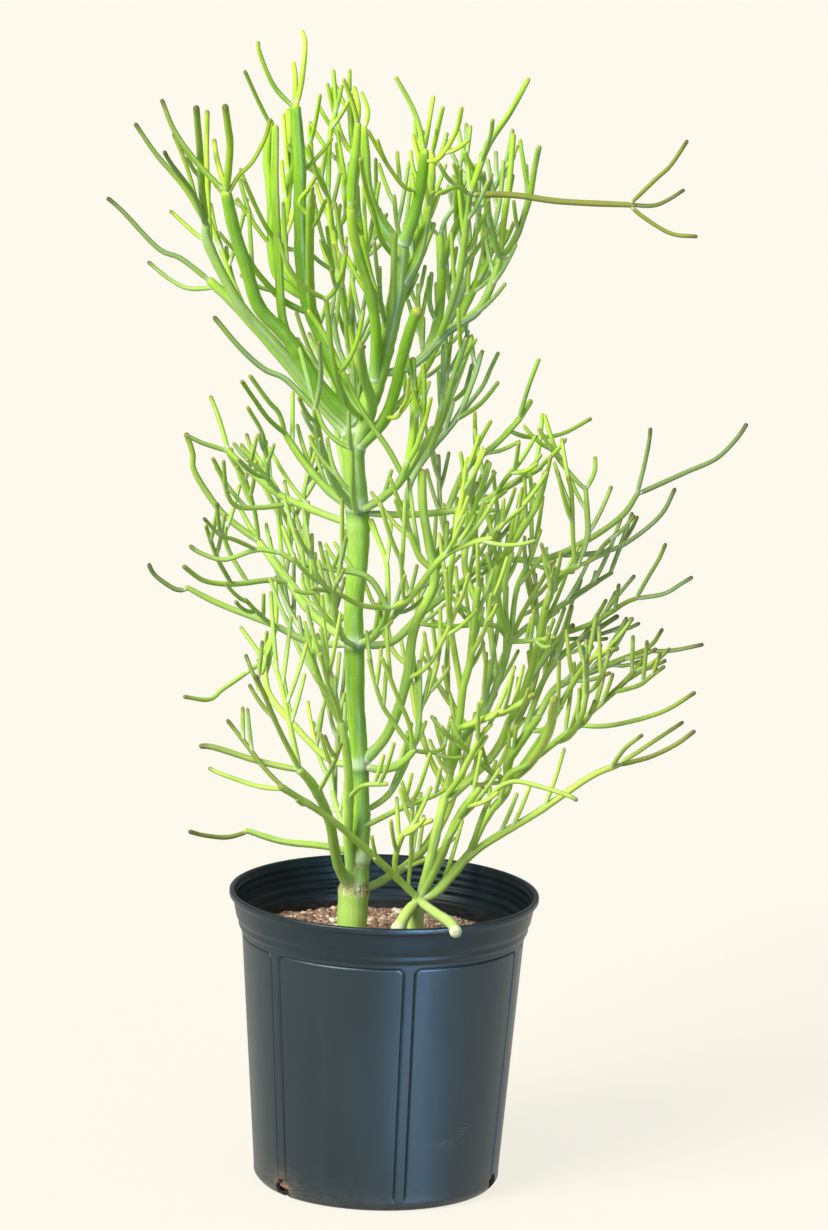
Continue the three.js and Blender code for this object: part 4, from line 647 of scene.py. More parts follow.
# How far the stems have turned from the blue-green of shade (0) to the lime of new growth (1). A
# letter is a whole family of stems, and a longer name one stem that differs from its family.
TONES = {
    "tall_plant": {
        0: "V1", 0.05: "k7", 0.15: "k", 0.2: "M i l r", 0.25: "n", 0.3: "L V a b m c4", 0.35: "j",
        0.4: "E K U q s e3 M1", 0.45: "F J P p", 0.5: "t G N Q d7 u j1", 0.55: "R S",
        0.6: "H W X Y Z J1", 0.65: "D d4", 0.68: "d", 0.7: "c e", 0.75: "h", 0.8: "g", 0.85: "B C f",
        0.95: "A T h7", 1: "o j4 j5 j6 j7",
    },
    "bushy_plant": {
        0.2: "G5", 0.35: "J C1", 0.4: "K", 0.5: "M C5", 0.55: "H", 0.6: "F G", 0.7: "s P",
        0.75: "A E N", 0.8: "l D", 0.85: "C L", 0.9: "B F6", 0.95: "R", 1: "F8",
    },
}
TONE_SPREAD = 0.4

# Thin stem ends go dull olive the further they reach from the pot's axis, in millimetres, and these
# stems have gone so however near they are.
DULL = {"from": 110, "to": 280, "thin": 3.8, "over": 1.4, "root": 0.35,
        "whole": ("j4", "j5", "j6", "j7", "A2", "E1", "V1")}
# Skin brightens towards the tip, by so much from this share of the stem on. A dry tip is so many
# radii long, and longer on a dull stem.
NEW_SKIN = {"more": 0.15, "from": 0.3}
DRY_TIP = {"long": 2.4, "dull": 7}

# Marks on the trunk: heights of the pale scars at its whorls, each with a shaded band below it, the
# corky patches near the soil as height, reach and strength, and how pale its old skin is up its
# height.
TRUNK_SCARS = (274, 352, 455, 568, 630)
SCAR = {"reach": 4, "pale": 0.9, "below": 6.5, "dark": 0.7}
CORK = ((248, 11, 0.6), (268, 7, 0.5), (290, 5, 0.42), (212, 5, 0.42))
OLD_SKIN = ((208, 0.35), (250, 0.45), (300, 0.15), (380, 0), (450, 0), (480, 0.15), (550, 0.3),
            (566, 0.6), (580, 0.3), (640, 0.3), (700, 0.25), (790, 0.3))
# The pale scar where a stem leaves its host, and the wider one where that is the trunk.
JOINT = {"past": 1.1, "reach": 1, "pale": 0.8, "wide": 9, "wide pale": 0.45}
# The bushy plant's foot widens into the soil. The ends of stubs are pale and a little thicker,
# within so many radii of the end.
FOOT = {"top": 216, "over": 8, "more": 0.25}
CUT = {"pale": 0.7, "from": 1.3, "over": 1.6, "more": 0.25, "swollen": 2.5}
# Thick stems are a deeper green, from one girth to another. How pale all other stems are up their
# height: most of all near the soil, and least in the crown.
DEEP = {"from": 3, "to": 4.6, "most": 0.9}
PALE_STEMS = ((236, 0.75), (272, 0.4), (560, 0.4), (660, 0.1))
# What the skin goes by, stored on the stems' points under these names.
STEM_MARKS = ("tone", "tip", "scar", "cork", "old", "dull", "shade", "deep")


def linear(code):
    """An sRGB hex colour as linear red, green, blue and alpha."""
    parts = [int(code[i:i + 2], 16) / 255 for i in (1, 3, 5)]
    return [c / 12.92 if c <= 0.04045 else ((c + 0.055) / 1.055) ** 2.4 for c in parts] + [1]


def add_node(tree, kind, inputs=None, stops=None, **settings):
    """Adds a node: its settings, the nodes, sockets or values at its inputs, a ramp's stops."""
    made = tree.nodes.new(kind)
    for key, value in settings.items():
        setattr(made, key, value)
    for key, value in (inputs or {}).items():
        for source in value if isinstance(value, list) else [value]:
            if isinstance(source, bpy.types.Node):
                source = source.outputs[0]
            if isinstance(source, bpy.types.NodeSocket):
                tree.links.new(source, made.inputs[key])
            else:
                coded = isinstance(source, str) and source.startswith("#")
                made.inputs[key].default_value = linear(source) if coded else source
    if stops:
        elements = made.color_ramp.elements
        while len(elements) < len(stops):
            elements.new(0.5)
        for element, (place, colour) in zip(elements, stops):
            element.position = place
            element.color = linear(colour) if isinstance(colour, str) else (colour,) * 3 + (1,)
    return made


def add_object(name, data):
    made = bpy.data.objects.new(name, data)
    bpy.context.scene.collection.objects.link(made)
    return made


def set_floats(mesh, **values):
    """Stores numbers on a mesh's points, each list under its own name."""
    for key, numbers in values.items():
        attribute = mesh.attributes.new(key, "FLOAT", "POINT")
        attribute.data.foreach_set("value", np.asarray(numbers, np.float32))


def new_material(name):
    """An empty material, and what adds a node to it."""
    material = bpy.data.materials.new(name)
    material.use_nodes = True
    material.node_tree.nodes.clear()
    return material, partial(add_node, material.node_tree)


def new_tree(name, sockets):
    """A Geometry Nodes tree that takes a mesh and the named sockets and gives a mesh, what adds a
    node to it, and its inputs."""
    tree = bpy.data.node_groups.new(name, "GeometryNodeTree")
    for socket, kind in {"Geometry": "Geometry", **sockets}.items():
        tree.interface.new_socket(socket, in_out="INPUT", socket_type="NodeSocket" + kind)
    tree.interface.new_socket("Geometry", in_out="OUTPUT", socket_type="NodeSocketGeometry")
    node = partial(add_node, tree)
    return tree, node, node("NodeGroupInput").outputs


def end_tree(node, geometry, material):
    """Ends a tree: what it made becomes one mesh in one material."""
    whole = node("GeometryNodeRealizeInstances", {0: geometry})
    skinned = node("GeometryNodeSetMaterial", {"Geometry": whole, "Material": material})
    node("NodeGroupOutput", {0: skinned})


def settle(thing, modifier):
    """Makes what a modifier gives the object's own mesh, and drops the modifier."""
    graph = bpy.context.evaluated_depsgraph_get()
    made = bpy.data.meshes.new_from_object(thing.evaluated_get(graph))
    thing.modifiers.remove(modifier)
    thing.data = made


def grown(name, mesh, tree, **values):
    """Runs a tree on a mesh and keeps what it makes as a plain mesh object."""
    thing = add_object(name, mesh)
    modifier = thing.modifiers.new("growth", "NODES")
    modifier.node_group = tree
    for item in tree.interface.items_tree:
        if item.in_out == "INPUT" and item.name in values:
            modifier[item.identifier] = values[item.name]
    settle(thing, modifier)
    thing.data.name = name
    return thing


def fade(value, low, high):
    """0 up to low, 1 from high on, and even between."""
    return np.clip((value - low) / (high - low), 0, 1)


def smooth_step(low, high, value):
    t = fade(value, low, high)
    return t * t * (3 - 2 * t)


def bell(away, reach):
    return np.exp(-(away / reach) ** 2)


def stem_places(stem):
    """How far along a stem its rings stand: close at the root and the tip, even between."""
    base, dome, step = BASE_RINGS, DOME, RING_STEP
    if stem.name == "sprig":
        base, dome, step = SPRIG_BASE_RINGS, SPRIG_DOME, SPRIG_RING_STEP
    start = [0]
    if stem.host:
        start += [stem.host_girth + ring for ring in base]
    end = [stem.length - stem.tip_radius * share for share in dome]
    start = [place for place in start if place < end[0] - 1]
    count = max(2, round((end[0] - start[-1]) / step))
    return np.concatenate([start, np.linspace(start[-1], end[0], count + 1)[1:-1], end])


def girth_of(stem, shares, heights):
    if stem.name == "trunk":
        return np.interp(heights, *zip(*TRUNK_GIRTH))
    girth = stem.root_radius + (stem.tip_radius - stem.root_radius) * shares
    return girth * np.interp(girth, *FINER)


def host_girth(stem):
    """How thick the host is where a stem leaves it."""
    share = np.argmin(norms(sampled(stem.host.points, 60) - stem.points[0])) / 60
    return float(girth_of(stem.host, share, stem.points[0][2]))


def stem_rings(stem, draw):
    """A stem's centre line, a row a ring, with its girth and all that its skin goes by."""
    dense = sampled(stem.points, 240)
    if not stem.host:
        dense = np.concatenate([[(*dense[0][:2], STEM_FOOT)], dense])
    run = run_along(dense)
    stem.length = run[-1]
    stem.host_girth = host_girth(stem) if stem.host else 0
    places = stem_places(stem)
    points = np.stack([np.interp(places, run, dense[:, k]) for k in range(3)], axis=1)
    shares = places / stem.length
    heights = points[:, 2]
    phase = 100 * draw()
    girth = girth_of(stem, shares, heights)
    thick = stem.root_radius > THICK
    wave = np.sin(places / UNEVEN["length"] * 2 * math.pi + phase) * np.cos(places / 9 + 2 * phase)
    girth = girth * (1 + UNEVEN["share"] * wave)
    if stem.children:
        roots = np.array([child.points[0] for child in stem.children])
        away = norms(points[:, None] - roots).min(axis=1)
        girth = girth * (1 + SWELL["more"] * bell(away, SWELL["reach"]))
    forked = any(norms(child.points[0] - points[-1]) < FORK["near"] for child in stem.children)
    if forked:
        left = np.clip((stem.length - places) / FORK["reach"], 0, 1)
        girth = girth * (FORK["share"] + (1 - FORK["share"]) * left ** 0.6)
    scar = cork = shade = np.zeros(len(places))
    if stem.host:
        past = places - stem.host_girth
        on_trunk = stem.host.name == "trunk"
        base = FLARE if on_trunk and thick else PINCH
        girth = girth * (1 - (1 - base["share"]) * np.exp(-np.maximum(past, 0) / base["reach"]))
        girth = np.where(past < 0, np.minimum(girth, stem.host_girth * 0.85), girth)
        scar = JOINT["pale"] * bell(past - JOINT["past"], JOINT["reach"])
        scar = scar + JOINT["wide pale"] * on_trunk * np.exp(-np.maximum(past, 0) / JOINT["wide"])
    left = (stem.length - places) / stem.tip_radius
    girth = girth * np.sqrt(np.maximum(1 - np.clip(1 - left, 0, 1) ** 2, 0.01))
    old = np.interp(heights, *zip(*(OLD_SKIN if stem.name == "trunk" else PALE_STEMS)))
    if stem.name == "trunk":
        for height in TRUNK_SCARS:
            scar = scar + SCAR["pale"] * bell(heights - height, SCAR["reach"])
            shade = shade + SCAR["dark"] * bell(heights - height + SCAR["below"], SCAR["reach"])
        for height, reach, strength in CORK:
            cork = cork + strength * bell(heights - height, reach)
    if stem.name == "stem":
        girth = girth * (1 + FOOT["more"] * np.clip((FOOT["top"] - heights) / FOOT["over"], 0, 1))
    if stem.name in ("stub", "leg"):
        old = np.full(len(places), PALE_STEMS[0][1])
        scar = scar + CUT["pale"] * np.clip(CUT["from"] - left / CUT["over"], 0, 1)
        girth = girth * (1 + CUT["more"] * np.clip(1 - left / CUT["swollen"], 0, 1))
    out = np.hypot(points[:, 0], points[:, 1])
    dull = fade(out, DULL["from"], DULL["to"]) * (DULL["root"] + (1 - DULL["root"]) * shares)
    dull = dull * fade(DULL["thin"] - girth, 0, DULL["over"])
    dull = np.maximum(dull, 0.8 * (stem.name in DULL["whole"]))
    deep = DEEP["most"] * fade(girth, DEEP["from"], DEEP["to"])
    return {
        "points": points * MM,
        "girth": girth * MM,
        "run": (places + 10 * phase) * MM,
        "thick": np.full(len(places), thick),
        "tone": stem.tone + NEW_SKIN["more"] * np.clip(shares - NEW_SKIN["from"], 0, 1),
        "tip": np.clip(1 - left / (DRY_TIP["long"] + DRY_TIP["dull"] * dull), 0, 1) * (not forked),
        "scar": scar,
        "cork": cork,
        "old": old,
        "dull": dull,
        "shade": shade,
        "deep": deep * np.clip(3 * stem.tone - 0.5, 0, 1) * (stem.plant == "tall_plant"),
    }


def stem_mesh(name, stems):
    """Every stem's rings as one mesh of edges, with what the skin goes by on its points."""
    draw = drawer(SEED[name] + 1)
    tones = {key: tone for tone, keys in TONES[name].items() for key in keys.split()}
    parts = []
    edges = []
    count = 0
    for stem in stems:
        if stem.name in ("arm", "twig", "sprig"):
            tone = stem.host.tone
        else:
            tone = tones.get(stem.name, tones.get(stem.name[0]))
        stem.tone = tone + TONE_SPREAD * (draw() - 0.5)
        parts.append(stem_rings(stem, draw))
        size = len(parts[-1]["girth"])
        edges += [(count + i, count + i + 1) for i in range(size - 1)]
        count += size
    values = {key: np.concatenate([part[key] for part in parts]) for key in parts[0]}
    mesh = bpy.data.meshes.new(name)
    mesh.from_pydata(values.pop("points"), edges, [])
    set_floats(mesh, **values)
    return mesh


def make_stem_tree():
    """Sweeps a round section along every line; the section's girth is the line's own. Each point of
    a tube keeps its place on the stem's skin: across, aside and along, in metres."""
    tree, node, inputs = new_tree("stems", {**dict.fromkeys(SIDES, "Int"), "Skin": "Material"})
    thick = node("GeometryNodeInputNamedAttribute", {"Name": "thick"}, data_type="BOOLEAN")
    girth = node("GeometryNodeInputNamedAttribute", {"Name": "girth"})
    place = node("GeometryNodeInputPosition")
    parted = node("GeometryNodeSeparateGeometry", {0: inputs["Geometry"], 1: thick})
    tubes = []
    for some, sides in zip(parted.outputs, SIDES):
        lines = node("GeometryNodeMeshToCurve", {"Mesh": some})
        circle = node("GeometryNodeCurvePrimitiveCircle", {"Resolution": inputs[sides], "Radius": 1.0})
        section = node("GeometryNodeStoreNamedAttribute", {0: circle, "Name": "around", "Value": place},
                       data_type="FLOAT_VECTOR")
        tubes.append(node("GeometryNodeCurveToMesh", {
            "Curve": lines, "Profile Curve": section, "Scale": girth, "Fill Caps": True}))
    joined = node("GeometryNodeJoinGeometry", {0: tubes})
    around = node("GeometryNodeInputNamedAttribute", {"Name": "around"}, data_type="FLOAT_VECTOR")
    run = node("GeometryNodeInputNamedAttribute", {"Name": "run"})
    wide = node("ShaderNodeVectorMath", {0: around, "Scale": girth}, operation="SCALE")
    parts = node("ShaderNodeSeparateXYZ", {0: wide}).outputs
    skin = node("ShaderNodeCombineXYZ", {0: parts[0], 1: parts[1], 2: run})
    mapped = node("GeometryNodeStoreNamedAttribute", {0: joined, "Name": "skin", "Value": skin},
                  data_type="FLOAT_VECTOR")
    end_tree(node, node("GeometryNodeSetShadeSmooth", {0: mapped}), inputs["Skin"])
    return tree


def make_stem_skin():
    """Waxy green stem skin. The eye reads it as alive by its shift from silvery green to lime, its
    lengthwise stripes and pale pores, the light scars at its joints and its dry tips."""
    material, node = new_material("pencil_cactus_skin")
    mark = {key: node("ShaderNodeAttribute", attribute_name=key).outputs["Fac"] for key in STEM_MARKS}
    skin = node("ShaderNodeAttribute", attribute_name="skin").outputs["Vector"]
    place = node("ShaderNodeTexCoord").outputs["Object"]
    drift = node("ShaderNodeTexNoise", {"Vector": place, "Scale": 40.0, "Detail": 3.0})
    pattern = {}
    for key, length, kind, scale in (
            ("stripe", 0.06, "Noise", 260.0), ("streak", 0.07, "Noise", 700.0),
            ("crack", 0.5, "Noise", 520.0), ("patch", 0.4, "Noise", 130.0),
            ("pore", 0.5, "Voronoi", 520.0)):
        grid = node("ShaderNodeMapping", {0: skin, "Scale": (1, 1, length)})
        finer = {"Detail": 3.0} if kind == "Noise" else {}
        pattern[key] = node("ShaderNodeTex" + kind, {"Vector": grid, "Scale": scale, **finer})
    tone = mark["tone"]
    for noise_made, swing in ((drift, 0.5), (pattern["stripe"], 1.2)):
        about = node("ShaderNodeMath", {0: noise_made, 1: 0.5}, operation="SUBTRACT")
        tone = node("ShaderNodeMath", {0: about, 1: swing, 2: tone}, operation="MULTIPLY_ADD")
    ramps = (
        (tone, ((0, "#9AC07E"), (0.25, "#98C454"), (0.5, "#9ACA20"), (0.75, "#A6D80E"), (1, "#CCEC42"))),
        (tone, ((0, "#5C7638"), (0.6, "#78883C"), (1, "#6E6C34"))),
        (mark["dull"], ((0, "#A8A650"), (0.5, "#54462F"))),
        (pattern["crack"], ((0.35, "#4E4430"), (0.48, "#9A9066"), (0.62, "#CFCDA8"))))
    green, dulled, dry, bark = (
        node("ShaderNodeValToRGB", {0: shown_by}, stops=stops) for shown_by, stops in ramps)
    both = node("ShaderNodeMath", {0: pattern["crack"], 1: pattern["patch"]}, operation="ADD")
    corked = node("ShaderNodeMath", {0: both, 1: 0.5, 2: mark["cork"]}, operation="MULTIPLY_ADD")
    # Each layer: what shows it, how much of it shows at which values, and its colour.
    colour = green
    for shown_by, stops, layer in (
            (mark["deep"], ((0, 0), (1, 1)), "#72B600"),
            (pattern["stripe"], ((0.3, 0.55), (0.45, 0)), "#4C7E10"),
            (mark["old"], ((0, 0), (1, 1)), "#B4D082"),
            (pattern["streak"], ((0.48, 0), (0.75, 0.25)), "#D3E89A"),
            (pattern["pore"], ((0.12, 0.25), (0.24, 0)), "#DCE8BE"),
            (mark["shade"], ((0, 0), (1, 1)), "#3E6E1C"),
            (mark["dull"], ((0, 0), (1, 1)), dulled),
            (mark["tip"], ((0.3, 0), (1, 0.8)), dry),
            (mark["scar"], ((0, 0), (1, 0.85)), "#D5E2CC"),
            (corked, ((0.95, 0), (1.12, 0.85)), bark)):
        cover = node("ShaderNodeValToRGB", {0: shown_by}, stops=stops)
        colour = node("ShaderNodeMix", {0: cover, 6: colour, 7: layer}, data_type="RGBA").outputs[2]
    rough = node("ShaderNodeMapRange", {"Value": pattern["streak"], "To Min": 0.34, "To Max": 0.5})
    bump = node("ShaderNodeBump", {"Height": pattern["streak"], "Strength": 0.25, "Distance": 0.0006})
    surface = node("ShaderNodeBsdfPrincipled", {
        "Base Color": colour, "Roughness": rough, "Normal": bump, "Specular IOR Level": 0.18,
        "Subsurface Weight": 0.1, "Subsurface Radius": (0.5, 1, 0.25), "Subsurface Scale": 0.003})
    node("ShaderNodeOutputMaterial", {"Surface": surface})
    return material


def body_radius(z):
    return BASE_RADIUS + (BODY_TOP_RADIUS - BASE_RADIUS) * z / BODY_TOP


def rounded(corners, steps=5):
    """A profile of radius, height and rounding in turn, with each corner rounded off."""
    points = [np.array(corners[0][:2], float)]
    for before, corner, after in zip(corners, corners[1:], corners[2:]):
        here = np.array(corner[:2], float)
        back, on = np.array(before[:2]) - here, np.array(after[:2]) - here
        cut = min(corner[2], np.linalg.norm(back) * 0.45, np.linalg.norm(on) * 0.45)
        start, end = here + back / np.linalg.norm(back) * cut, here + on / np.linalg.norm(on) * cut
        points += [(1 - t) ** 2 * start + 2 * t * (1 - t) * here + t * t * end
                   for t in np.linspace(0, 1, steps)]
    return np.array(points + [np.array(corners[-1][:2], float)])


def split_long(profile, step):
    """Adds rows to a profile so that none is further than step from the next."""
    rows = [profile[0]]
    for a, b in zip(profile, profile[1:]):
        count = max(1, math.ceil(np.linalg.norm(b - a) / step))
        rows += [a + (b - a) * i / count for i in range(1, count + 1)]
    return np.array(rows)


def turned_mesh(name, profile, angles, shaped):
    """Turns a profile that runs from the axis back to the axis; shaped moves each ring's points."""
    profile = profile[1:-1]
    points = []
    for radius, height in profile:
        r, z = shaped(np.full(len(angles), radius), np.full(len(angles), height), angles)
        points.append(np.stack([r * np.cos(angles), r * np.sin(angles), z], axis=1))
    rows, columns = len(profile), len(angles)
    ends = [np.array([[0, 0, ring[:, 2].mean()]]) for ring in (points[0], points[-1])]
    here = np.arange(columns)
    beyond = (here + 1) % columns
    faces = [row for i in range(rows - 1) for row in np.stack([
        here, beyond, beyond + columns, here + columns], axis=1) + i * columns]
    final, low, high = (rows - 1) * columns, np.full(columns, rows * columns), rows * columns + 1
    faces += [*np.stack([beyond, here, low], axis=1)]
    faces += [*np.stack([final + here, final + beyond, np.full(columns, high)], axis=1)]
    mesh = bpy.data.meshes.new(name)
    mesh.from_pydata(np.concatenate(points + ends) * MM, [], [face.tolist() for face in faces])
    mesh.shade_smooth()
    return mesh


def rib_offset(angles):
    """How far round from the nearest rib's middle each angle is."""
    return (angles - RIB_FIRST + RIB_PITCH / 2) % RIB_PITCH - RIB_PITCH / 2


def body_relief(r, z, angles):
    """Draws in the wall over the round-cornered panels between ribs, deepest in a groove that
    follows each panel's border."""
    corner = PANEL["corner"]
    over = np.maximum(corner - (abs(rib_offset(angles)) * r - PANEL["edge"]), 0)
    high = np.maximum(z - (PANEL["top"] - corner), 0)
    inside = corner - np.hypot(over, high)
    trough = smooth_step(0, 1, 1 - abs(inside - GROOVE["inside"]) / GROOVE["half"])
    panel = PANEL["depth"] * smooth_step(0, PANEL["fade"], inside)
    return (GROOVE["depth"] * trough + panel) * smooth_step(PANEL["foot"] - 3, PANEL["foot"] + 3, z)


def ringed(heights):
    return (heights > INNER_RINGS["low"]) & (heights < INNER_RINGS["high"])


def make_pot_mesh():
    ring = np.radians(np.arange(0, 360, 2.5))
    near = np.radians(np.arange(-5.4, 5.5, 0.3))
    angles = np.concatenate([ring] + [middle + near for middle in RIBS]) % (2 * math.pi)
    angles = np.unique(np.round(angles, 5))
    angles = angles[np.concatenate([[True], np.diff(angles) > 0.002])]
    outside = rounded([
        (0, 1.4, 0), (80, 1.4, 1), (83, 0, 1), (BASE_RADIUS - 5, 0, 2.5),
        (body_radius(6), 6, 3), (BODY_TOP_RADIUS, BODY_TOP, 1.2),
        (BODY_TOP_RADIUS + 2.4, BODY_TOP + 2.5, 1.3), (BODY_TOP_RADIUS + 2.4, BODY_TOP + 7, 1.3),
        (LIP_RADIUS - 6, BODY_TOP + 10.5, 1.6), (LIP_RADIUS - 3, POT_HEIGHT - 6.5, 1.4),
        (LIP_RADIUS, POT_HEIGHT - 5, 1.2), (LIP_RADIUS, POT_HEIGHT, 2.2),
        (LIP_RADIUS - 4, POT_HEIGHT, 1.8), (LIP_RADIUS - 5.6, POT_HEIGHT - 5, 1.4),
        (LIP_RADIUS - 8.6, BODY_TOP + 10.5, 1.4), (BODY_TOP_RADIUS - 0.2, BODY_TOP + 7, 1.2),
        (BODY_TOP_RADIUS - 0.2, BODY_TOP + 2.5, 1.2), (BODY_TOP_RADIUS - 2.6, BODY_TOP, 1.2),
        (body_radius(8) - WALL, 8, 3), (BASE_RADIUS - 6, FLOOR, 2), (0, FLOOR, 0)])
    crest = np.argmax(outside[:, 1])
    low = split_long(outside[:crest + 1], 4)
    # The rows are close where the panels' top corners need them, and at the rings inside.
    step = (low[:, 0] > BASE_RADIUS) & (low[:, 1] > PANEL["top"] - 12) & (low[:, 1] <= BODY_TOP)
    first, after = step.argmax(), step.argmax() + step.sum()
    low = np.concatenate([low[:first], split_long(low[step], 0.7), low[after:]])
    inner = split_long(outside[crest:], 1.2)
    heights = inner[:, 1]
    inner = inner[ringed(heights) | (np.arange(len(inner)) % 8 == 0) | (heights > INNER_RINGS["high"])]
    heights = inner[:, 1]
    turns = (heights - INNER_RINGS["low"]) / INNER_RINGS["apart"] * 2 * math.pi
    inner[:, 0] += INNER_RINGS["out"] * np.where(ringed(heights), np.cos(turns) - 1, 0)

    def shaped(r, z, at):
        outer = (r > body_radius(z) - 1) & (z < BODY_TOP) & (z > 5)
        waved = r + 0.35 * np.sin(2 * at + 0.7) * smooth_step(20, POT_HEIGHT, z)
        return waved - np.where(outer, body_relief(waved, z, at), 0), z

    return turned_mesh("nursery_pot", np.concatenate([low, inner[1:]]), angles, shaped)


def cut_holes(pot):
    """Cuts the drainage holes through the wall and the floor's edge."""
    reach, _, height = HOLE["size"]
    place = Vector((BASE_RADIUS + HOLE["proud"] - reach / 2, 0, height / 2 - HOLE["below"])) * MM
    for angle in RIBS[1::2]:
        cutter = bmesh.new()
        bmesh.ops.create_cube(cutter, size=1)
        bmesh.ops.scale(cutter, vec=Vector(HOLE["size"]) * MM, verts=cutter.verts)
        along_x = [edge for edge in cutter.edges
                   if abs((edge.verts[0].co - edge.verts[1].co).x) > 0.001]
        bmesh.ops.bevel(cutter, geom=along_x, offset=HOLE["round"] * MM, segments=4, affect="EDGES")
        bmesh.ops.translate(cutter, verts=cutter.verts, vec=place)
        bmesh.ops.rotate(cutter, verts=cutter.verts, matrix=Matrix.Rotation(angle, 3, "Z"))
        tool = add_object("hole", bpy.data.meshes.new("hole"))
        cutter.to_mesh(tool.data)
        cutter.free()
        modifier = pot.modifiers.new("hole", "BOOLEAN")
        modifier.operation = "DIFFERENCE"
        modifier.solver = "EXACT"
        modifier.object = tool
        settle(pot, modifier)
        bpy.data.objects.remove(tool)


def mark_pot(mesh):
    """Says at each point of the pot how rubbed it is (the rubbed patches also carry a painted highlight
    on a dent), how much soil dust clings to it and how matt it is: the inner wall most, the rim some."""
    at = np.empty(3 * len(mesh.vertices), np.float32)
    mesh.vertices.foreach_get("co", at)
    x, y, z = at.reshape(-1, 3).T / MM
    around = np.arctan2(x, -y)
    far = np.hypot(x, y)
    worn = np.zeros(len(x))
    # Rubbed patches: partly scuffing, partly a painted highlight where a dent catches the light.
    for degrees, height, wide, tall in RUBBED_AND_GLINT:
        away = (around - math.radians(degrees)) * far
        worn += np.exp(-(away / wide) ** 2 - ((z - height) / tall) ** 2)
    dust = 0.5 * np.exp(-z / 9)
    for turn in RIBS[1::2]:
        hole = (BASE_RADIUS * math.cos(turn), BASE_RADIUS * math.sin(turn), 8)
        dust += bell(norms(np.stack([x, y, z], axis=1) - hole), 15)
    dust += 0.6 * (far < soil_radius(z) + 1.5) * (z > 10) * np.exp(-abs(z - SOIL_LEVEL - 1) / 4)
    matt = np.where(far < np.interp(z, *zip(*WALL_MIDDLE)), 1, 0.4 * smooth_step(BODY_TOP - 2, BODY_TOP, z))
    set_floats(mesh, worn=worn, dust=dust, matt=matt)


def make_pot_plastic():
    """Black nursery-pot polyethylene. The eye reads it as moulded plastic by its broad cool sheen, which
    breaks up in faint smears, by two rubbed patches with a painted dent highlight, and dust round its
    holes."""
    material, node = new_material("black_polyethylene")
    place = node("ShaderNodeTexCoord").outputs["Object"]
    mark = {key: node("ShaderNodeAttribute", attribute_name=key).outputs["Fac"]
            for key in ("worn", "dust", "matt")}
    pattern = {}
    for key, stretch, scale in (("smear", (1, 1, 0.25), 26.0), ("rub", (0.5, 0.5, 2), 240.0),
                                ("grain", (1, 1, 1), 1400.0)):
        grid = node("ShaderNodeMapping", {0: place, "Scale": stretch})
        pattern[key] = node("ShaderNodeTexNoise", {"Vector": grid, "Scale": scale, "Detail": 3.0})
    colour = node("ShaderNodeValToRGB", {0: pattern["smear"]}, stops=((0.3, "#0E181D"), (0.7, "#152229")))
    # The pale bluish grey of the rubbed patches is partly a painted highlight on a dent.
    for key, low, high, most, layer in (("worn", 0.4, 0.62, 0.22, "#8C98A0"),
                                        ("dust", 0.3, 0.7, 0.55, "#8A7663")):
        bright = node("ShaderNodeMapRange", {
            "Value": pattern["rub"], "From Min": low, "From Max": high, "To Max": most})
        cover = node("ShaderNodeMath", {0: bright, 1: mark[key]}, operation="MULTIPLY")
        colour = node("ShaderNodeMix", {0: cover, 6: colour, 7: layer}, data_type="RGBA").outputs[2]
    rough = node("ShaderNodeMapRange", {
        "Value": pattern["smear"], "From Min": 0.3, "From Max": 0.7, "To Min": 0.34, "To Max": 0.46})
    bump = node("ShaderNodeBump", {"Height": pattern["grain"], "Strength": 0.12, "Distance": 0.0003})
    sheen = node("ShaderNodeMapRange", {"Value": mark["matt"], "To Min": 0.62, "To Max": 0.25})
    surface = node("ShaderNodeBsdfPrincipled", {
        "Base Color": colour, "Roughness": rough, "Normal": bump, "Specular IOR Level": sheen,
        "Specular Tint": (0.7, 0.9, 1, 1)})
    node("ShaderNodeOutputMaterial", {"Surface": surface})
    return material


def soil_radius(z):
    return (body_radius(z) - WALL) * math.cos(math.pi / 42) - SOIL_CLEARANCE


def make_soil_mesh():
    """The plug of soil, its top lumpy."""
    top = soil_radius(SOIL_LEVEL)
    rings = [(top * share, SOIL_LEVEL) for share in np.linspace(1, 0, 36)]
    profile = np.array([(0, FLOOR + SOIL_CLEARANCE), (BASE_RADIUS - 10, FLOOR + SOIL_CLEARANCE),
                        (soil_radius(FLOOR + 5) - 1, FLOOR + 5 + SOIL_CLEARANCE),
                        (soil_radius(120), 120), (soil_radius(199), 199)] + rings)

    def shaped(r, z, at):
        x, y = r * np.cos(at), r * np.sin(at)
        lumps = np.array([noise.fractal(Vector((a / 9, b / 9, 3.7)), 1, 2, 4) for a, b in zip(x, y)])
        wave = SOIL_WAVE * np.sin(x / 13 + 1) * np.cos(y / 11)
        wave = wave - SOIL_DIP["depth"] * smooth_step(SOIL_DIP["from"], SOIL_DIP["to"], x)
        return r, z + np.where(z > SOIL_LEVEL - 1, wave + 2.2 * lumps, 0)

    mesh = turned_mesh("potting_soil", profile, np.radians(np.arange(0, 360, 2.5)), shaped)
    draw = drawer(SEED["soil"])
    set_floats(mesh, crumb=[0.3 + 0.4 * draw() for _ in mesh.vertices])
    return mesh


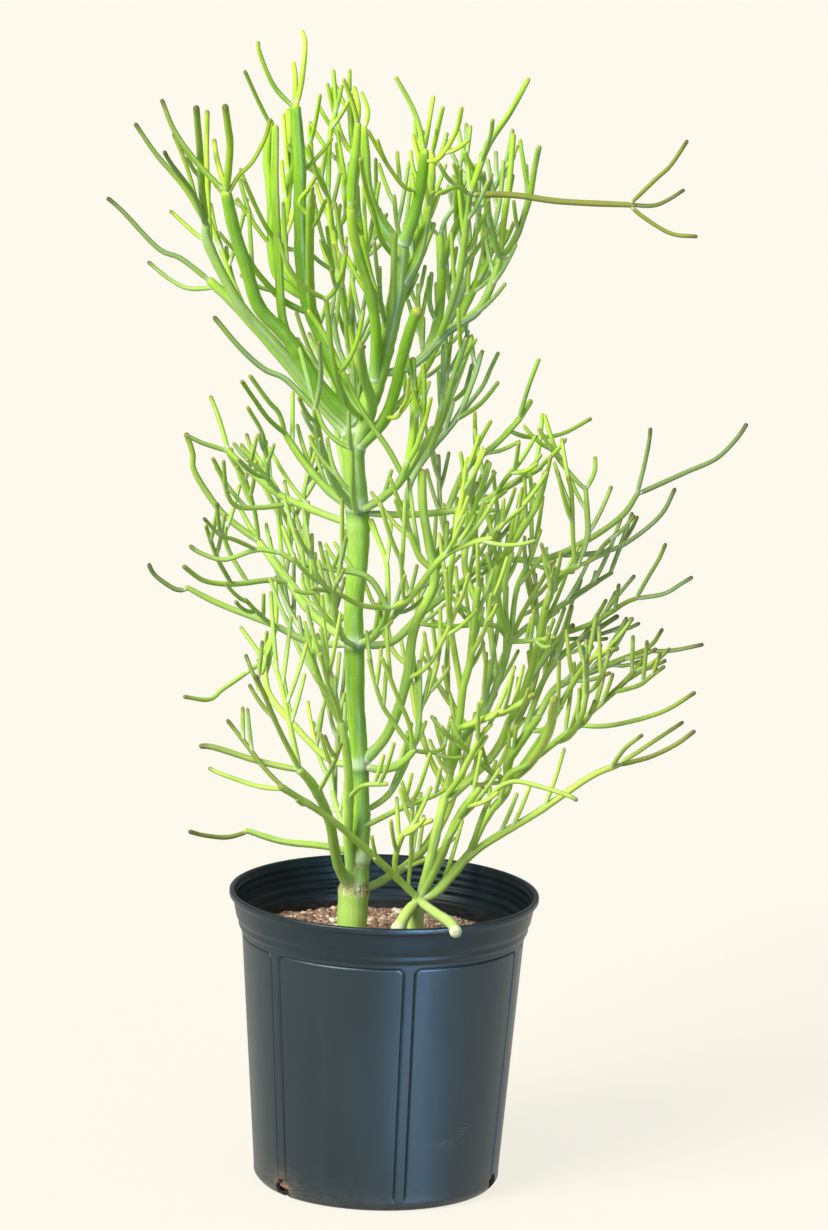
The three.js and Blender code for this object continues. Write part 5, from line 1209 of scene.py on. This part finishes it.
def make_soil_tree():
    """Strews crumbs over a mesh's level top, short of its rim."""
    tree, node, inputs = new_tree("crumbs", {
        "Density": "Float", "Seed": "Int", "Least": "Float", "Most": "Float", "Rim": "Float",
        "Level": "Float", "Skin": "Material"})
    place = node("GeometryNodeInputPosition")
    x, y, z = node("ShaderNodeSeparateXYZ", {0: place}).outputs
    flat = node("ShaderNodeCombineXYZ", {0: x, 1: y})
    far = node("ShaderNodeVectorMath", {0: flat}, operation="LENGTH").outputs[1]
    near = node("FunctionNodeCompare", {0: far, 1: inputs["Rim"]}, operation="LESS_THAN")
    high = node("FunctionNodeCompare", {0: z, 1: inputs["Level"]}, operation="GREATER_THAN")
    both = node("FunctionNodeBooleanMath", {0: near, 1: high})
    spots = node("GeometryNodeDistributePointsOnFaces", {
        "Mesh": inputs["Geometry"], "Selection": both, "Density": inputs["Density"],
        "Seed": inputs["Seed"]})
    draw = node("FunctionNodeRandomValue", {2: 0.0, 3: 1.0, "Seed": 1}).outputs[1]
    cube = node("ShaderNodeMath", {0: draw, 1: 3.0}, operation="POWER")
    size = node("ShaderNodeMapRange", {"Value": cube, "To Min": inputs["Least"], "To Max": inputs["Most"]})
    stretch = node("FunctionNodeRandomValue", {0: (0.8, 0.6, 0.45), 1: (1.25, 1, 0.8), "Seed": 2},
                   data_type="FLOAT_VECTOR")
    sized = node("ShaderNodeVectorMath", {0: stretch, "Scale": size}, operation="SCALE")
    turn = node("FunctionNodeRandomValue", {0: (-0.5, -0.5, 0), 1: (0.5, 0.5, 6.28), "Seed": 3},
                data_type="FLOAT_VECTOR")
    lump = node("GeometryNodeMeshIcoSphere", {"Radius": 1.0, "Subdivisions": 1})
    crumbs = node("GeometryNodeInstanceOnPoints", {
        "Points": spots, "Instance": lump, "Rotation": turn, "Scale": sized})
    shade = node("FunctionNodeRandomValue", {2: 0.08, 3: 1.0, "Seed": 4}).outputs[1]
    toned = node("GeometryNodeStoreNamedAttribute", {"Geometry": crumbs, "Name": "crumb", "Value": shade},
                 domain="INSTANCE")
    real = node("GeometryNodeRealizeInstances", {0: toned})
    rough = node("ShaderNodeTexNoise", {"Vector": place, "Scale": 330.0, "Detail": 1.0}).outputs["Color"]
    centred = node("ShaderNodeVectorMath", {0: rough, 1: (0.5, 0.5, 0.5)}, operation="SUBTRACT")
    push = node("ShaderNodeVectorMath", {0: centred, "Scale": 0.003}, operation="SCALE")
    knobbly = node("GeometryNodeSetPosition", {"Geometry": real, "Offset": push})
    whole = node("GeometryNodeJoinGeometry", {0: [inputs["Geometry"], knobbly]})
    end_tree(node, whole, inputs["Skin"])
    return tree


def make_soil_skin():
    """Gritty potting mix. The eye reads it by its separate crumbs, pinkish tan to dark brown, some
    of them pale pumice, dry and without any shine."""
    material, node = new_material("gritty_potting_mix")
    place = node("ShaderNodeTexCoord").outputs["Object"]
    crumb = node("ShaderNodeAttribute", attribute_name="crumb").outputs["Fac"]
    tone = node("ShaderNodeValToRGB", {0: crumb}, stops=(
        (0, "#4A3A31"), (0.3, "#7C6353"), (0.55, "#A88A74"), (0.8, "#D2B9A0"), (1, "#F2E7D8")))
    speck = node("ShaderNodeTexNoise", {"Vector": place, "Scale": 800.0, "Detail": 4.0})
    darker = node("ShaderNodeMapRange", {
        "Value": speck, "From Min": 0.3, "From Max": 0.7, "To Min": 0.65, "To Max": 1.25})
    mottled = node("ShaderNodeVectorMath", {0: tone, "Scale": darker}, operation="SCALE")
    bump = node("ShaderNodeBump", {"Height": speck, "Strength": 0.6, "Distance": 0.001})
    surface = node("ShaderNodeBsdfPrincipled", {"Base Color": mottled, "Roughness": 0.92, "Normal": bump})
    node("ShaderNodeOutputMaterial", {"Surface": surface})
    return material


def make_floor():
    """A plain cream floor that fills the view."""
    floor = add_object("floor", bpy.data.meshes.new("floor"))
    form = bmesh.new()
    bmesh.ops.create_circle(form, cap_ends=True, segments=96, radius=12)
    form.to_mesh(floor.data)
    form.free()
    material, node = new_material("cream_backdrop")
    place = node("ShaderNodeTexCoord").outputs["Object"]
    drift = node("ShaderNodeTexNoise", {"Vector": place, "Scale": 0.8, "Detail": 2.0})
    shade = node("ShaderNodeValToRGB", {0: drift}, stops=FLOOR_SHADES)
    surface = node("ShaderNodeBsdfPrincipled", {
        "Base Color": shade, "Roughness": 0.9, "Specular IOR Level": 0.1, **FLOOR_GLOW})
    node("ShaderNodeOutputMaterial", {"Surface": surface})
    floor.data.materials.append(material)
    floor.visible_diffuse = False


def facing(way):
    """The turn of a lamp that shines this way."""
    return Vector(way).to_track_quat("-Z", "Y").to_euler()


def make_lights():
    world = bpy.data.worlds.new("studio")
    bpy.context.scene.world = world
    world.use_nodes = True
    world.node_tree.nodes.clear()
    glow = add_node(world.node_tree, "ShaderNodeBackground", WORLD)
    add_node(world.node_tree, "ShaderNodeOutputWorld", {"Surface": glow})
    lamp = bpy.data.lights.new("key", "SUN")
    lamp.energy, lamp.angle = SUN["strength"], math.radians(SUN["spread"])
    lamp.color = linear(SUN["colour"])[:3]
    add_object("key", lamp).rotation_euler = facing(SUN["towards"])
    panel = bpy.data.lights.new("softbox", "AREA")
    panel.shape, panel.size, panel.size_y = "RECTANGLE", SOFTBOX["wide"], SOFTBOX["tall"]
    panel.energy, panel.color = SOFTBOX["watts"], linear(SOFTBOX["colour"])[:3]
    box = add_object("softbox", panel)
    box.location = SOFTBOX["place"]
    box.rotation_euler = facing(-Vector(SOFTBOX["place"]))
    box.visible_diffuse = False


def make_camera():
    """The photograph's camera, worked out from the pot's ellipse and the plant's upright trunk."""
    pitch, roll = CAMERA["pitch"], CAMERA["roll"]
    ahead = Vector((0, math.cos(pitch), -math.sin(pitch)))
    level = Vector((1, 0, 0))
    upward = Vector((0, math.sin(pitch), math.cos(pitch)))
    right = level * math.cos(roll) + upward * math.sin(roll)
    top = upward * math.cos(roll) - level * math.sin(roll)
    data = bpy.data.cameras.new("camera")
    data.sensor_width = CAMERA["sensor"]
    data.lens = CAMERA["sensor"] * CAMERA["focal"] / CAMERA["photo"]
    data.clip_start, data.clip_end = 0.1, 100
    camera = add_object("camera", data)
    eye = (Vector(CAMERA["target"]) - ahead * CAMERA["distance"]) * MM
    camera.matrix_world = Matrix.Translation(eye) @ Matrix((right, top, -ahead)).transposed().to_4x4()
    bpy.context.scene.camera = camera


def add_piece(piece, node):
    """A finished piece stands for a CAD node and rides on the root body."""
    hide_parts(node)
    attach(piece, "root")


def make_plants():
    skin = make_stem_skin()
    tree = make_stem_tree()
    stems = grow_plants()
    for plant, slot in (("tall_plant", "tall_stems"), ("bushy_plant", "bushy_stems")):
        mesh = stem_mesh(plant, [stem for stem in stems if stem.plant == plant])
        piece = grown(plant.replace("plant", "cactus"), mesh, tree, Skin=skin, **SIDES)
        add_piece(piece, plant)


def make_pot_and_soil():
    pot = add_object("ribbed_pot", make_pot_mesh())
    cut_holes(pot)
    mark_pot(pot.data)
    pot.data.materials.append(make_pot_plastic())
    add_piece(pot, "nursery_pot")
    soil = grown("gritty_soil", make_soil_mesh(), make_soil_tree(), Seed=7,
                 Density=CRUMBS["a square metre"], Least=CRUMBS["least"] * MM, Most=CRUMBS["most"] * MM,
                 Rim=(soil_radius(SOIL_LEVEL) - CRUMBS["rim"]) * MM,
                 Level=(SOIL_LEVEL - CRUMBS["below"]) * MM, Skin=make_soil_skin())
    add_piece(soil, "potting_soil")


make_pot_and_soil()
make_plants()
make_floor()
make_lights()
make_camera()
bpy.context.scene.view_settings.view_transform = "Standard"
